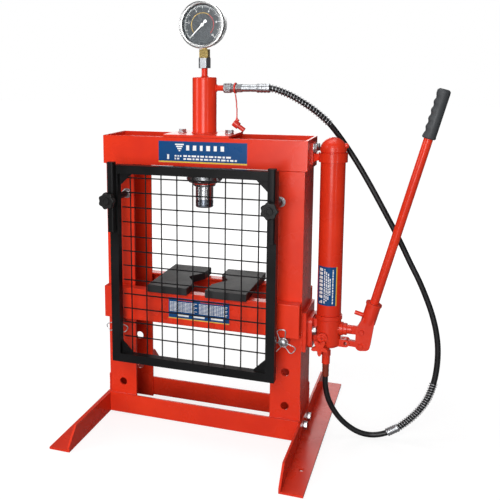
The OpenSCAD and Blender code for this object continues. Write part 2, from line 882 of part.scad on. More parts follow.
left_foot();
right_foot();
frame_bolts();
left_column();
right_column();
front_base_rail();
rear_base_rail();
head_beam();
ram_plate();
ram_cylinder();
ram_ring_nut();
ram_gland();
ram_piston();
ram_nose();
ram_return_spring();
gauge_nut();
gauge_stem();
gauge_case();
gauge_bourdon_tube();
gauge_dial();
gauge_pointer();
gauge_glass();
gauge_bezel();
ram_nipples();
coupler_collar();
coupler_body();
hose();
upper_spring_guard();
lower_spring_guard();
hose_ferrule();
outlet_sleeve();
outlet_fitting();
cap_tether();
dust_cap();
pump_top_bracket();
pump_lower_bracket();
reservoir_tube();
pump_cap();
pump_block();
pump_gland();
relief_plug();
release_knob();
plunger();
pump_link();
handle_socket();
clevis_pins();
socket_lock_screw();
handle_bar();
handle_grip();
bed_front_channel();
bed_rear_channel();
left_arbor_plate();
right_arbor_plate();
left_bed_pin();
right_bed_pin();
guard_frame();
guard_mesh();
guard_mounts();
left_knob();
right_knob();
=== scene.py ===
"""Bench-top hydraulic shop press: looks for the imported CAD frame.

Metres, +X to the pump side, +Y to the back, +Z up, origin on the bench.
"""
import json
import math
import bpy
import bmesh
from mathutils import Matrix, Vector


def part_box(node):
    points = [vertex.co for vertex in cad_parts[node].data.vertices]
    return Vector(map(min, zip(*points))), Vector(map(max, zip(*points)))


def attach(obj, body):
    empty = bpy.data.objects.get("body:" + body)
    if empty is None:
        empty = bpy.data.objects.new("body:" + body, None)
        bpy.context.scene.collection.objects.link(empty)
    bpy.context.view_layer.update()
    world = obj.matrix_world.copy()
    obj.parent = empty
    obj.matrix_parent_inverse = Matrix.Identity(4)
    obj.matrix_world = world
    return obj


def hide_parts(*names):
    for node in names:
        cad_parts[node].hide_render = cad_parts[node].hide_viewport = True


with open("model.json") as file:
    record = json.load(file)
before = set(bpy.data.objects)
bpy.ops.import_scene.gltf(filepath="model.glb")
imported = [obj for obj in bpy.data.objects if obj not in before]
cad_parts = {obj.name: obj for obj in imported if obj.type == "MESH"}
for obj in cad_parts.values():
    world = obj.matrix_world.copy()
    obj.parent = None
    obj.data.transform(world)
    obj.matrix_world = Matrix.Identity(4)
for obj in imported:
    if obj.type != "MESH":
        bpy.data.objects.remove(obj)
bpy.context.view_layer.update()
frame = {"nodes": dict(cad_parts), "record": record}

BODY_OF = {node: body
           for body, nodes in frame["record"]["behaviour"]["bodies"].items()
           for node in nodes}
SLOT_OF = {s["node"]: s["material_slot"] for s in frame["record"]["subparts"]}
MM = 0.001

# Places that several pieces share, in metres, as the CAD has them
RAM_X = -0.010                              # middle of the ram and of the gauge
PORT_Z = 0.828                              # oil port, coupler and start of the hose
FOOT_BOLT_Y, FOOT_BOLT_Z = (-0.024, 0.024), 0.026
LOWER_BOLT_Y, LOWER_BOLT_Z = (-0.023, 0.023), 0.265
TOP_BOLT_Y, TOP_BOLT_Z = (-0.017, 0.017), 0.694
RAM_BOLT_X = (-0.066, 0.052)
LOWER_BOLT_SEAT, TOP_BOLT_SEAT = 0.2640, 0.2550    # X of the pump brackets' faces
WASHER = 0.0017                             # thickness of the washers under the heads
BASE_TOP, BEAM_BOTTOM = 0.0520, 0.6458      # where the columns' weld seams lie
COLUMN_IN, COLUMN_OUT = 0.1730, 0.2430
STUD_X, STUD_Z = 0.190, 0.574               # the guard's studs
PIN_X, PIN_Z = 0.208, 0.252                 # the bed's pins
RELEASE_X, RELEASE_Z = 0.284, 0.232         # the release valve's stem


# ---------------------------------------------------------------- camera

CAMERA_AT = Vector((0.5364, -1.7123, 0.8861))
CAMERA_RIGHT = Vector((0.936, 0.3518, -0.0069))
CAMERA_FORWARD = Vector((-0.3484, 0.9239, -0.1581))


def set_camera():
    """A camera in front, to the right and a little above the head beam."""
    data = bpy.data.cameras.new("camera")
    data.sensor_width = 36.0
    data.lens = 53.8
    data.shift_x = 0.1674
    data.shift_y = -0.1336
    data.clip_start = 0.05
    camera = bpy.data.objects.new("camera", data)
    bpy.context.scene.collection.objects.link(camera)
    right = CAMERA_RIGHT.normalized()
    forward = (CAMERA_FORWARD - right * CAMERA_FORWARD.dot(right)).normalized()
    up = right.cross(forward)
    turn = Matrix((right, up, -forward)).transposed()
    camera.matrix_world = Matrix.Translation(CAMERA_AT) @ turn.to_4x4()
    bpy.context.scene.camera = camera


set_camera()


# ---------------------------------------------------------------- node tools

class Tree:
    """Short calls for building a node tree."""

    def __init__(self, tree):
        self.tree = tree
        self.nodes = tree.nodes
        self.column = 0

    def add(self, kind, inputs=None, **props):
        node = self.nodes.new(kind)
        self.column += 1
        node.location = (self.column * 180, 0)
        for key, value in props.items():
            setattr(node, key, value)
        for key, value in (inputs or {}).items():
            self.feed(node, key, value)
        return node

    def feed(self, node, key, value):
        socket = node.inputs[key]
        if isinstance(value, bpy.types.NodeSocket):
            self.tree.links.new(value, socket)
        elif isinstance(value, bpy.types.Node):
            self.tree.links.new(value.outputs[0], socket)
        elif value is not None:
            socket.default_value = value

    def math(self, operation, a, b=None, clamp=False):
        node = self.add("ShaderNodeMath", operation=operation, use_clamp=clamp)
        self.feed(node, 0, a)
        self.feed(node, 1, b)
        return node.outputs[0]

    def vector(self, operation, a, b=None, scale=None):
        node = self.add("ShaderNodeVectorMath", operation=operation)
        self.feed(node, 0, a)
        self.feed(node, 1, b)
        if scale is not None:
            self.feed(node, "Scale", scale)
        return node.outputs["Value" if operation == "DOT_PRODUCT" else "Vector"]

    def remap(self, value, low, high, to_low=0.0, to_high=1.0):
        node = self.add("ShaderNodeMapRange", {
            "Value": value, "From Min": low, "From Max": high,
            "To Min": to_low, "To Max": to_high})
        return node.outputs["Result"]

    def mix(self, factor, a, b):
        node = self.add("ShaderNodeMix", data_type="RGBA", blend_type="MIX")
        self.feed(node, 0, factor)
        self.feed(node, 6, a)
        self.feed(node, 7, b)
        return node.outputs[2]


def group(name, kind, ins, outs):
    """A node group with named inputs (name, socket type, default) and outputs."""
    tree = bpy.data.node_groups.new(name, kind)
    for label, socket, default in ins:
        made = tree.interface.new_socket(label, in_out="INPUT", socket_type=socket)
        if default is not None:
            made.default_value = default
    for label, socket in outs:
        tree.interface.new_socket(label, in_out="OUTPUT", socket_type=socket)
    kit = Tree(tree)
    return kit, kit.add("NodeGroupInput").outputs, kit.add("NodeGroupOutput")


# ---------------------------------------------------------------- finishes

def edge_wear_and_crease_shade_group():
    """Mask of the narrow band along convex and concave edges, broken by noise. With a darker
    colour it paints shade into the concave creases, and marks wear on the convex edges.
    """
    kit, ins, out = group("worn_edges", "ShaderNodeTree",
                          [("Radius", "NodeSocketFloat", 0.0015),
                           ("Breakup", "NodeSocketFloat", 90.0)],
                          [("Mask", "NodeSocketFloat")])
    rounded = kit.add("ShaderNodeBevel", {"Radius": ins["Radius"]}, samples=3)
    geometry = kit.add("ShaderNodeNewGeometry")
    along = kit.vector("DOT_PRODUCT", rounded.outputs[0], geometry.outputs["Normal"])
    edge = kit.remap(along, 0.995, 0.93)
    place = kit.add("ShaderNodeTexCoord").outputs["Object"]
    noise = kit.add("ShaderNodeTexNoise", {"Vector": place, "Scale": ins["Breakup"],
                                           "Detail": 3.0, "Roughness": 0.6})
    broken = kit.remap(noise.outputs["Fac"], 0.48, 0.62)
    kit.feed(out, "Mask", kit.math("MULTIPLY", edge, broken, clamp=True))
    return kit.tree


def sprayed_skin_group():
    """Orange peel of a sprayed coat, and the slow drift of its tone."""
    kit, ins, out = group("sprayed_skin", "ShaderNodeTree",
                          [("Scale", "NodeSocketFloat", 420.0),
                           ("Drift", "NodeSocketFloat", 9.0)],
                          [("Height", "NodeSocketFloat"), ("Tone", "NodeSocketFloat")])
    place = kit.add("ShaderNodeTexCoord").outputs["Object"]
    fine = kit.add("ShaderNodeTexNoise", {"Vector": place, "Scale": ins["Scale"],
                                          "Detail": 2.0, "Roughness": 0.45})
    slow = kit.add("ShaderNodeTexNoise", {"Vector": place, "Scale": ins["Drift"],
                                          "Detail": 4.0, "Roughness": 0.55})
    kit.feed(out, "Height", fine.outputs["Fac"])
    kit.feed(out, "Tone", kit.remap(slow.outputs["Fac"], 0.3, 0.7))
    return kit.tree


def settled_dust_group():
    """Mask of the dust on faces that look up."""
    kit, ins, out = group("settled_dust", "ShaderNodeTree",
                          [("Amount", "NodeSocketFloat", 0.2),
                           ("Scale", "NodeSocketFloat", 35.0)],
                          [("Mask", "NodeSocketFloat")])
    normal = kit.add("ShaderNodeNewGeometry").outputs["Normal"]
    upward = kit.add("ShaderNodeSeparateXYZ", {"Vector": normal}).outputs["Z"]
    facing = kit.remap(upward, 0.55, 1.0)
    place = kit.add("ShaderNodeTexCoord").outputs["Object"]
    noise = kit.add("ShaderNodeTexNoise", {"Vector": place, "Scale": ins["Scale"],
                                           "Detail": 6.0, "Roughness": 0.7})
    patches = kit.remap(noise.outputs["Fac"], 0.35, 0.75)
    amount = kit.math("MULTIPLY", facing, patches)
    kit.feed(out, "Mask", kit.math("MULTIPLY", amount, ins["Amount"], clamp=True))
    return kit.tree


def tool_marks_group():
    """Fine parallel marks across a direction, as turning or drawing leaves them."""
    kit, ins, out = group("tool_marks", "ShaderNodeTree",
                          [("Stretch", "NodeSocketVector", (1.0, 1.0, 60.0)),
                           ("Scale", "NodeSocketFloat", 40.0)],
                          [("Height", "NodeSocketFloat"), ("Tone", "NodeSocketFloat")])
    place = kit.add("ShaderNodeTexCoord").outputs["Object"]
    drawn = kit.vector("MULTIPLY", place, ins["Stretch"])
    marks = kit.add("ShaderNodeTexNoise", {"Vector": drawn, "Scale": ins["Scale"],
                                           "Detail": 4.0, "Roughness": 0.65})
    cloud = kit.add("ShaderNodeTexNoise", {"Vector": place, "Scale": 22.0,
                                           "Detail": 3.0})
    kit.feed(out, "Height", marks.outputs["Fac"])
    kit.feed(out, "Tone", kit.remap(cloud.outputs["Fac"], 0.3, 0.7))
    return kit.tree


EDGE_WEAR_AND_CREASE_SHADE = edge_wear_and_crease_shade_group()
SPRAYED_SKIN = sprayed_skin_group()
SETTLED_DUST = settled_dust_group()
TOOL_MARKS = tool_marks_group()


DUST = (0.42, 0.38, 0.34)


def rgba(colour):
    return (*colour, 1.0)


class Finish:
    """One material: a Principled shader with grain, drift, edge wear with painted shade in the
    creases, and dust.
    """

    def __init__(self, name, **constants):
        self.material = bpy.data.materials.new(name)
        self.material.use_nodes = True
        self.kit = Tree(self.material.node_tree)
        self.shader = self.material.node_tree.nodes["Principled BSDF"]
        for socket, value in constants.items():
            self.shader.inputs[socket.replace("_", " ")].default_value = value

    def use(self, tree, **values):
        node = self.kit.add("ShaderNodeGroup", node_tree=tree)
        for key, value in values.items():
            self.kit.feed(node, key, value)
        return node.outputs

    def bump(self, height, distance):
        node = self.kit.add("ShaderNodeBump", {"Height": height, "Distance": distance,
                                               "Strength": 1.0})
        self.kit.feed(self.shader, "Normal", node.outputs[0])

    def colour(self, value):
        self.kit.feed(self.shader, "Base Color", value)

    def rough(self, value):
        self.kit.feed(self.shader, "Roughness", value)


def coated(name, base, deep, low, high, peel=420.0, depth=0.00004, coat=0.0, edge_colour=None,
           dust=0.12, cast=False, shine=0.3):
    """A sprayed or powder coat over steel or a casting."""
    made = Finish(name, Metallic=0.0, Coat_Weight=coat, Coat_Roughness=0.10,
                  Specular_IOR_Level=shine)
    kit = made.kit
    skin = made.use(SPRAYED_SKIN, Scale=peel)
    colour = kit.mix(skin["Tone"], rgba(base), rgba(deep))
    rough = kit.remap(skin["Tone"], 0.0, 1.0, low, high)
    # A darker edge colour paints shade into the concave creases that the mask finds, and wear
    # on the convex edges.
    if edge_colour is not None:
        mask = made.use(EDGE_WEAR_AND_CREASE_SHADE)["Mask"]
        colour = kit.mix(mask, colour, rgba(edge_colour))
    grime = made.use(SETTLED_DUST, Amount=dust)["Mask"]
    colour = kit.mix(grime, colour, rgba(DUST))
    rough = kit.math("ADD", rough, kit.math("MULTIPLY", grime, 0.4), clamp=True)
    height = skin["Height"]
    if cast:
        place = kit.add("ShaderNodeTexCoord").outputs["Object"]
        sand = kit.add("ShaderNodeTexVoronoi", {"Vector": place, "Scale": 520.0})
        height = kit.math("ADD", height, sand.outputs["Distance"])
    made.colour(colour)
    made.rough(rough)
    made.bump(height, depth)
    return made.material


def bare(name, base, deep, low, high, stretch=(1.0, 1.0, 60.0), depth=0.00002, edge_colour=None):
    """Bare or plated metal with the marks of its making."""
    made = Finish(name, Metallic=1.0)
    kit = made.kit
    marks = made.use(TOOL_MARKS, Stretch=stretch, Scale=40.0)
    colour = kit.mix(marks["Tone"], rgba(base), rgba(deep))
    if edge_colour is not None:
        mask = made.use(EDGE_WEAR_AND_CREASE_SHADE, Radius=0.0008)["Mask"]
        colour = kit.mix(mask, colour, rgba(edge_colour))
    made.colour(colour)
    made.rough(kit.remap(marks["Height"], 0.25, 0.75, low, high))
    made.bump(marks["Height"], depth)
    return made.material


def moulded(name, base, deep, low, high, grain=900.0, depth=0.00003, **constants):
    """Rubber or plastic with a fine moulded grain."""
    made = Finish(name, **constants)
    kit = made.kit
    skin = made.use(SPRAYED_SKIN, Scale=grain, Drift=25.0)
    made.colour(kit.mix(skin["Tone"], rgba(base), rgba(deep)))
    made.rough(kit.remap(skin["Tone"], 0.0, 1.0, low, high))
    made.bump(skin["Height"], depth)
    return made.material


RED = (0.760, 0.040, 0.012)
DEEP_RED = (0.640, 0.027, 0.009)
# The darker red edge colour of both red coats is painted shade in the concave creases, and wear
# on the convex edges.
PAINT = coated("red_enamel", RED, DEEP_RED, 0.22, 0.32, coat=0.10,
               depth=0.000015, edge_colour=(0.52, 0.028, 0.011), dust=0.04, shine=0.24)
CAST_PAINT = coated("red_enamel_on_casting", RED, DEEP_RED, 0.24, 0.38, peel=240.0,
                    depth=0.00012, coat=0.12, edge_colour=(0.48, 0.026, 0.011), dust=0.04,
                    cast=True)
BLACK_COAT = coated("black_powder_coat", (0.005, 0.005, 0.005), (0.008, 0.008, 0.009),
                    0.30, 0.42, peel=900.0, depth=0.00004, dust=0.03,
                    edge_colour=(0.016, 0.016, 0.017), shine=0.14)
# The arbor plates' tops are painted lighter than their sides, standing in for the light from
# above.
LIT_PLATE_TOP = coated("dark_grey_hammered_coat", (0.034, 0.035, 0.036),
                   (0.025, 0.026, 0.027), 0.42, 0.60, peel=700.0, depth=0.00010,
                   dust=0.10, edge_colour=(0.15, 0.15, 0.155), shine=0.14)
PLATE_SIDE = coated("black_plate_edge", (0.012, 0.012, 0.013), (0.020, 0.020, 0.021),
                    0.34, 0.52, peel=700.0, depth=0.00006, dust=0.02)
ZINC = bare("bright_zinc", (0.54, 0.55, 0.57), (0.44, 0.46, 0.48), 0.30, 0.46,
            depth=0.000005, edge_colour=(0.72, 0.73, 0.75))
SPRING_STEEL = bare("spring_wire", (0.60, 0.61, 0.63), (0.50, 0.51, 0.53), 0.28, 0.40,
                    depth=0.000004)
DARK_STEEL = bare("oiled_steel", (0.32, 0.33, 0.34), (0.22, 0.23, 0.25), 0.28,
                  0.42, edge_colour=(0.6, 0.61, 0.63))
NOSE_STEEL = bare("ground_steel", (0.30, 0.33, 0.38), (0.22, 0.245, 0.29), 0.20, 0.36)
CHROME = bare("hard_chrome", (0.62, 0.63, 0.65), (0.56, 0.57, 0.59), 0.24, 0.32,
              stretch=(1.0, 1.0, 90.0), depth=0.0000006)
BRASS = bare("machined_brass", (0.83, 0.62, 0.24), (0.70, 0.50, 0.17), 0.16, 0.32)
STAINLESS = bare("polished_stainless", (0.80, 0.80, 0.80), (0.74, 0.74, 0.74), 0.22,
                 0.30, stretch=(1.0, 60.0, 1.0), depth=0.000001)
HOSE_COVER = moulded("hose_cover", (0.006, 0.006, 0.007), (0.010, 0.010, 0.011), 0.30,
                     0.44, Specular_IOR_Level=0.35)
GRIP_RUBBER = moulded("grey_grip_rubber", (0.044, 0.048, 0.052), (0.036, 0.039, 0.043),
                      0.50, 0.66, grain=700.0, depth=0.00006)
KNOB_PLASTIC = moulded("black_moulding", (0.005, 0.005, 0.005), (0.009, 0.009, 0.009),
                       0.34, 0.46, Specular_IOR_Level=0.25)
RED_PLASTIC = moulded("red_plastic", (0.66, 0.030, 0.014), (0.56, 0.024, 0.011), 0.26,
                      0.38)
SLEEVE_PLASTIC = moulded("amber_sleeve", (0.30, 0.045, 0.020), (0.20, 0.030, 0.014),
                         0.18, 0.28, Transmission_Weight=0.25, IOR=1.45)
DIAL_BLACK = moulded("dial_black", (0.030, 0.036, 0.042), (0.024, 0.029, 0.034), 0.40,
                     0.50, depth=0.00001)
PRINT_WHITE = moulded("white_print", (0.85, 0.85, 0.84), (0.78, 0.78, 0.77), 0.35, 0.45,
                      depth=0.00001)
PRINT_YELLOW = moulded("yellow_print", (0.80, 0.52, 0.05), (0.74, 0.47, 0.045), 0.35,
                       0.45, depth=0.00001)
PRINT_RED = moulded("red_print", (0.62, 0.035, 0.030), (0.56, 0.030, 0.026), 0.35, 0.45,
                    depth=0.00001)
PRINT_BLUE = moulded("blue_print", (0.004, 0.062, 0.205), (0.003, 0.054, 0.180), 0.26,
                     0.36, depth=0.00001, Specular_IOR_Level=0.22)
INKS = [PRINT_BLUE, PRINT_WHITE, PRINT_YELLOW, PRINT_RED]
GROUND, WHITE, YELLOW, CRIMSON = range(4)          # places in INKS


def clear_glass():
    """Flat gauge glass; shadow rays pass so that the dial stays lit."""
    made = Finish("gauge_glass", Transmission_Weight=1.0, Roughness=0.02, IOR=1.45,
                  Base_Color=(0.97, 0.985, 0.985, 1.0))
    kit = made.kit
    rays = kit.add("ShaderNodeLightPath")
    open_glass = kit.add("ShaderNodeBsdfTransparent")
    both = kit.add("ShaderNodeMixShader", {"Fac": rays.outputs["Is Shadow Ray"]})
    kit.feed(both, 1, made.shader.outputs[0])
    kit.feed(both, 2, open_glass.outputs[0])
    out = made.material.node_tree.nodes["Material Output"]
    kit.feed(out, "Surface", both.outputs[0])
    return made.material


GLASS = clear_glass()


# ---------------------------------------------------------------- mesh tools

def link(name, mesh, materials=()):
    """Puts a mesh in the scene as a piece at the origin."""
    piece = bpy.data.objects.new(name, mesh)
    bpy.context.scene.collection.objects.link(piece)
    for material in materials:
        mesh.materials.append(material)
    return piece


def smooth(mesh, angle=32.0):
    """Shades a mesh smooth, with its edges past an angle kept sharp."""
    mesh.shade_smooth()
    mesh.set_sharp_from_angle(angle=math.radians(angle))


def joined(name, bm, materials, angle=32.0):
    """Ends a mesh that is being made: faces outwards, sharp edges kept, linked."""
    bmesh.ops.recalc_face_normals(bm, faces=bm.faces)
    mesh = bpy.data.meshes.new(name)
    bm.to_mesh(mesh)
    bm.free()
    smooth(mesh, angle)
    return link(name, mesh, materials)


def applied(piece):
    """Turns a piece's live modifiers into its plain mesh."""
    graph = bpy.context.evaluated_depsgraph_get()
    mesh = bpy.data.meshes.new_from_object(piece.evaluated_get(graph),
                                           preserve_all_data_layers=True,
                                           depsgraph=graph)
    piece.modifiers.clear()
    piece.data = mesh
    return piece


def softened(piece, width, segments=2, angle=30.0):
    """Rounds a piece's sharp edges, and keeps its flat faces looking flat."""
    bevel = piece.modifiers.new("edge", "BEVEL")
    bevel.width = width
    bevel.segments = segments
    bevel.limit_method = "ANGLE"
    bevel.angle_limit = math.radians(angle)
    bevel.use_clamp_overlap = True
    bevel.harden_normals = True
    piece.data.shade_smooth()
    return applied(piece)


def merged_copy(node, name, materials):
    """A copy of a CAD node's mesh with its doubles merged and flat faces joined."""
    source = frame["nodes"][node]
    bm = bmesh.new()
    bm.from_mesh(source.data)
    bmesh.ops.remove_doubles(bm, verts=bm.verts, dist=0.000004)
    bmesh.ops.dissolve_degenerate(bm, edges=bm.edges, dist=0.000002)
    bmesh.ops.dissolve_limit(bm, angle_limit=math.radians(0.6), verts=bm.verts,
                             edges=bm.edges)
    mesh = bpy.data.meshes.new(name)
    bm.to_mesh(mesh)
    bm.free()
    for layer in ("custom_normal", "sharp_edge", "sharp_face"):
        if layer in mesh.attributes:
            mesh.attributes.remove(mesh.attributes[layer])
    mesh.materials.clear()
    return link(name, mesh, materials)


def settle(piece, body, slot, *nodes):
    """Puts a finished piece on its body, in place of CAD nodes; the slot is not used."""
    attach(piece, body)
    if nodes:
        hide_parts(*nodes)
    return piece


def dress(node, material, width=0.0, segments=2):
    """Stands a softened copy in for a CAD node, or just repaints the node."""
    if width == 0.0:
        node_object = frame["nodes"][node]
        node_object.data.materials.clear()
        node_object.data.materials.append(material)
        return node_object
    piece = merged_copy(node, node + "_made", [material])
    softened(piece, width, segments)
    return settle(piece, BODY_OF[node], SLOT_OF[node], node)


# For each axis: two directions across it, then the axis itself
AXES = {"x": (Vector((0, 1, 0)), Vector((0, 0, 1)), Vector((1, 0, 0))),
        "y": (Vector((0, 0, 1)), Vector((1, 0, 0)), Vector((0, 1, 0))),
        "z": (Vector((1, 0, 0)), Vector((0, 1, 0)), Vector((0, 0, 1)))}


def turned(name, profile, origin, axis, materials, segments=64, bm=None):
    """A closed shape turned about an axis from [radius, height] points."""
    u, v, w = AXES[axis] if isinstance(axis, str) else axis
    origin = Vector(origin)
    own = bm is None
    bm = bm or bmesh.new()
    rings = []
    for radius, height in profile:
        centre = origin + w * height
        if radius < 1e-7:
            rings.append([bm.verts.new(centre)])
            continue
        rings.append([bm.verts.new(centre + radius * (math.cos(t) * u + math.sin(t) * v))
                      for t in (2 * math.pi * k / segments for k in range(segments))])
    for low, high in zip(rings, rings[1:]):
        for k in range(segments):
            n = (k + 1) % segments
            if len(low) == 1 and len(high) == 1:
                continue
            if len(low) == 1:
                bm.faces.new((low[0], high[n], high[k]))
            elif len(high) == 1:
                bm.faces.new((low[k], low[n], high[0]))
            else:
                bm.faces.new((low[k], low[n], high[n], high[k]))
    for end in (rings[0], rings[-1]):
        if len(end) > 1 and rings[0] is not rings[-1] and profile[0] != profile[-1]:
            bm.faces.new(end)
    if own:
        return joined(name, bm, materials)
    return bm


def turned_ring(name, profile, origin, axis, materials, segments=64):
    """A ring turned from a closed [radius, height] outline."""
    u, v, w = AXES[axis] if isinstance(axis, str) else axis
    origin = Vector(origin)
    bm = bmesh.new()
    loops = []
    for k in range(segments):
        t = 2 * math.pi * k / segments
        out = math.cos(t) * u + math.sin(t) * v
        loops.append([bm.verts.new(origin + out * r + w * h) for r, h in profile])
    count = len(profile)
    for k in range(segments):
        a, b = loops[k], loops[(k + 1) % segments]
        for i in range(count):
            j = (i + 1) % count
            bm.faces.new((a[i], b[i], b[j], a[j]))
    return joined(name, bm, materials)


def circle(centre, radius, axis, steps):
    """Points of one closed turn about an axis, the first repeated at the end."""
    u, v, _ = AXES[axis]
    return [tuple(c + radius * (math.cos(t) * a + math.sin(t) * b)
                  for c, a, b in zip(centre, u, v))
            for t in (2 * math.pi * k / steps for k in range(steps + 1))]


def spline(points, steps=4):
    """Points on a smooth curve through the given ones."""
    knots = [Vector(p) for p in points]
    knots = [2 * knots[0] - knots[1]] + knots + [2 * knots[-1] - knots[-2]]
    made = []
    for a, b, c, d in zip(knots, knots[1:], knots[2:], knots[3:]):
        for k in range(steps):
            t = k / steps
            made.append(0.5 * ((2 * b) + (c - a) * t + (2 * a - 5 * b + 4 * c - d) * t * t
                               + (3 * b - a - 3 * c + d) * t ** 3))
    made.append(knots[-2])
    return made


def skin(bm, low, high):
    """Joins two rings of the same number of vertices with a band of faces."""
    count = len(low)
    for k in range(count):
        n = (k + 1) % count
        bm.faces.new((low[k], low[n], high[n], high[k]))


def swept(name, points, radius, materials, sides=16, closed=False, bm=None):
    """A round bar along points, with its ends closed."""
    own = bm is None
    bm = bm or bmesh.new()
    count = len(points)
    normal = None
    rings = []
    for i, point in enumerate(points):
        before = points[(i - 1) % count] if closed else points[max(i - 1, 0)]
        after = points[(i + 1) % count] if closed else points[min(i + 1, count - 1)]
        along = (after - before).normalized()
        if normal is None:
            normal = along.orthogonal().normalized()
        normal = (normal - along * normal.dot(along)).normalized()
        other = along.cross(normal)
        r = radius[i] if isinstance(radius, (list, tuple)) else radius
        rings.append([bm.verts.new(point + r * (math.cos(t) * normal + math.sin(t) * other))
                      for t in (2 * math.pi * k / sides for k in range(sides))])
    pairs = list(zip(rings, rings[1:]))
    if closed:
        pairs.append((rings[-1], rings[0]))
    for low, high in pairs:
        skin(bm, low, high)
    if not closed:
        bm.faces.new(list(reversed(rings[0])))
        bm.faces.new(rings[-1])
    if own:
        return joined(name, bm, materials, 60.0)
    return bm


def slab(bm, low, high, material=0):
    """Adds a plain box to a mesh that is being made."""
    corners = [bm.verts.new((x, y, z)) for x in (low[0], high[0])
               for y in (low[1], high[1]) for z in (low[2], high[2])]
    for face in ((0, 1, 3, 2), (4, 6, 7, 5), (0, 4, 5, 1), (2, 3, 7, 6), (0, 2, 6, 4),
                 (1, 5, 7, 3)):
        bm.faces.new([corners[k] for k in face]).material_index = material


def outline_plate(bm, outline, depth, place):
    """Adds a flat plate: an outline of (u, v) points given a depth by place(u, v, d)."""
    front = [bm.verts.new(place(u, v, 0.0)) for u, v in outline]
    back = [bm.verts.new(place(u, v, depth)) for u, v in outline]
    bm.faces.new(front)
    bm.faces.new(list(reversed(back)))
    for k in range(len(outline)):
        n = (k + 1) % len(outline)
        bm.faces.new((front[k], back[k], back[n], front[n]))


# ---------------------------------------------------------------- geometry nodes

GEOMETRY = ("Geometry", "NodeSocketGeometry", None)
FLOAT, INTEGER, MATERIAL = "NodeSocketFloat", "NodeSocketInt", "NodeSocketMaterial"


def finish_tree(kit, out, geometry, material):
    """Ends a tree with Realize Instances and Set Material."""
    solid = kit.add("GeometryNodeRealizeInstances", {"Geometry": geometry})
    painted = kit.add("GeometryNodeSetMaterial", {"Geometry": solid,
                                                  "Material": material})
    kit.feed(out, "Geometry", painted)
    return kit.tree


def coil_tree():
    """A wire wound round the path that comes in."""
    kit, ins, out = group("coil_on_path", "GeometryNodeTree",
                          [GEOMETRY, ("Turns", FLOAT, 20.0), ("Coil Radius", FLOAT, 0.008),
                           ("Wire Radius", FLOAT, 0.001), ("Steps", INTEGER, 240),
                           ("Material", MATERIAL, None)], [GEOMETRY[:2]])
    path = kit.add("GeometryNodeMeshToCurve", {"Mesh": ins["Geometry"]})
    even = kit.add("GeometryNodeResampleCurve", {"Curve": path, "Count": ins["Steps"]})
    share = kit.add("GeometryNodeSplineParameter").outputs["Factor"]
    turn = kit.math("MULTIPLY", kit.math("MULTIPLY", share, ins["Turns"]), 2 * math.pi)
    side = kit.add("GeometryNodeInputNormal").outputs[0]
    along = kit.add("GeometryNodeInputTangent").outputs[0]
    other = kit.vector("CROSS_PRODUCT", along, side)
    outward = kit.vector("ADD",
                         kit.vector("SCALE", side, scale=kit.math("COSINE", turn)),
                         kit.vector("SCALE", other, scale=kit.math("SINE", turn)))
    offset = kit.vector("SCALE", outward, scale=ins["Coil Radius"])
    wound = kit.add("GeometryNodeSetPosition", {"Geometry": even, "Offset": offset})
    section = kit.add("GeometryNodeCurvePrimitiveCircle", {"Resolution": 8,
                                                           "Radius": ins["Wire Radius"]})
    wire = kit.add("GeometryNodeCurveToMesh", {"Curve": wound,
                                               "Profile Curve": section.outputs[0],
                                               "Fill Caps": True})
    round_wire = kit.add("GeometryNodeSetShadeSmooth", {"Geometry": wire})
    return finish_tree(kit, out, round_wire, ins["Material"])


def wire_panel_tree():
    """A welded panel: upright wires with level wires across their backs."""
    kit, ins, out = group("wire_panel", "GeometryNodeTree",
                          [GEOMETRY, ("Uprights", INTEGER, 9), ("Upright Pitch", FLOAT, 0.0387),
                           ("Levels", INTEGER, 12), ("Level Pitch", FLOAT, 0.0355),
                           ("Half Width", FLOAT, 0.177), ("Bottom", FLOAT, 0.181),
                           ("Top", FLOAT, 0.646), ("First Level", FLOAT, 0.231),
                           ("Front", FLOAT, -0.1193), ("Wire Radius", FLOAT, 0.0016),
                           ("Material", MATERIAL, None)], [GEOMETRY[:2]])
    section = kit.add("GeometryNodeCurvePrimitiveCircle",
                      {"Resolution": 10, "Radius": ins["Wire Radius"]}).outputs[0]

    def point(x, y, z):
        return kit.add("ShaderNodeCombineXYZ", {"X": x, "Y": y, "Z": z}).outputs[0]

    def row(start, end, first, step, count):
        wire = kit.add("GeometryNodeCurvePrimitiveLine", {"Start": start, "End": end})
        solid = kit.add("GeometryNodeCurveToMesh", {"Curve": wire.outputs[0],
                                                    "Profile Curve": section,
                                                    "Fill Caps": True})
        places = kit.add("GeometryNodeMeshLine", {"Count": count, "Start Location": first,
                                                  "Offset": step}, mode="OFFSET")
        return kit.add("GeometryNodeInstanceOnPoints", {"Points": places,
                                                        "Instance": solid})

    gaps = kit.math("SUBTRACT", ins["Uprights"], 1.0)
    left = kit.math("MULTIPLY", kit.math("MULTIPLY", gaps, ins["Upright Pitch"]), -0.5)
    uprights = row(point(0.0, 0.0, ins["Bottom"]), point(0.0, 0.0, ins["Top"]),
                   point(left, ins["Front"], 0.0), point(ins["Upright Pitch"], 0.0, 0.0),
                   ins["Uprights"])
    behind = kit.math("ADD", ins["Front"], kit.math("MULTIPLY", ins["Wire Radius"], 1.9))
    levels = row(point(kit.math("MULTIPLY", ins["Half Width"], -1.0), 0.0, 0.0),
                 point(ins["Half Width"], 0.0, 0.0),
                 point(0.0, behind, ins["First Level"]),
                 point(0.0, 0.0, ins["Level Pitch"]), ins["Levels"])
    both = kit.add("GeometryNodeJoinGeometry")
    for part in (uprights, levels):
        kit.tree.links.new(part.outputs[0], both.inputs[0])
    shaded = kit.add("GeometryNodeSetShadeSmooth", {"Geometry": both})
    return finish_tree(kit, out, shaded, ins["Material"])


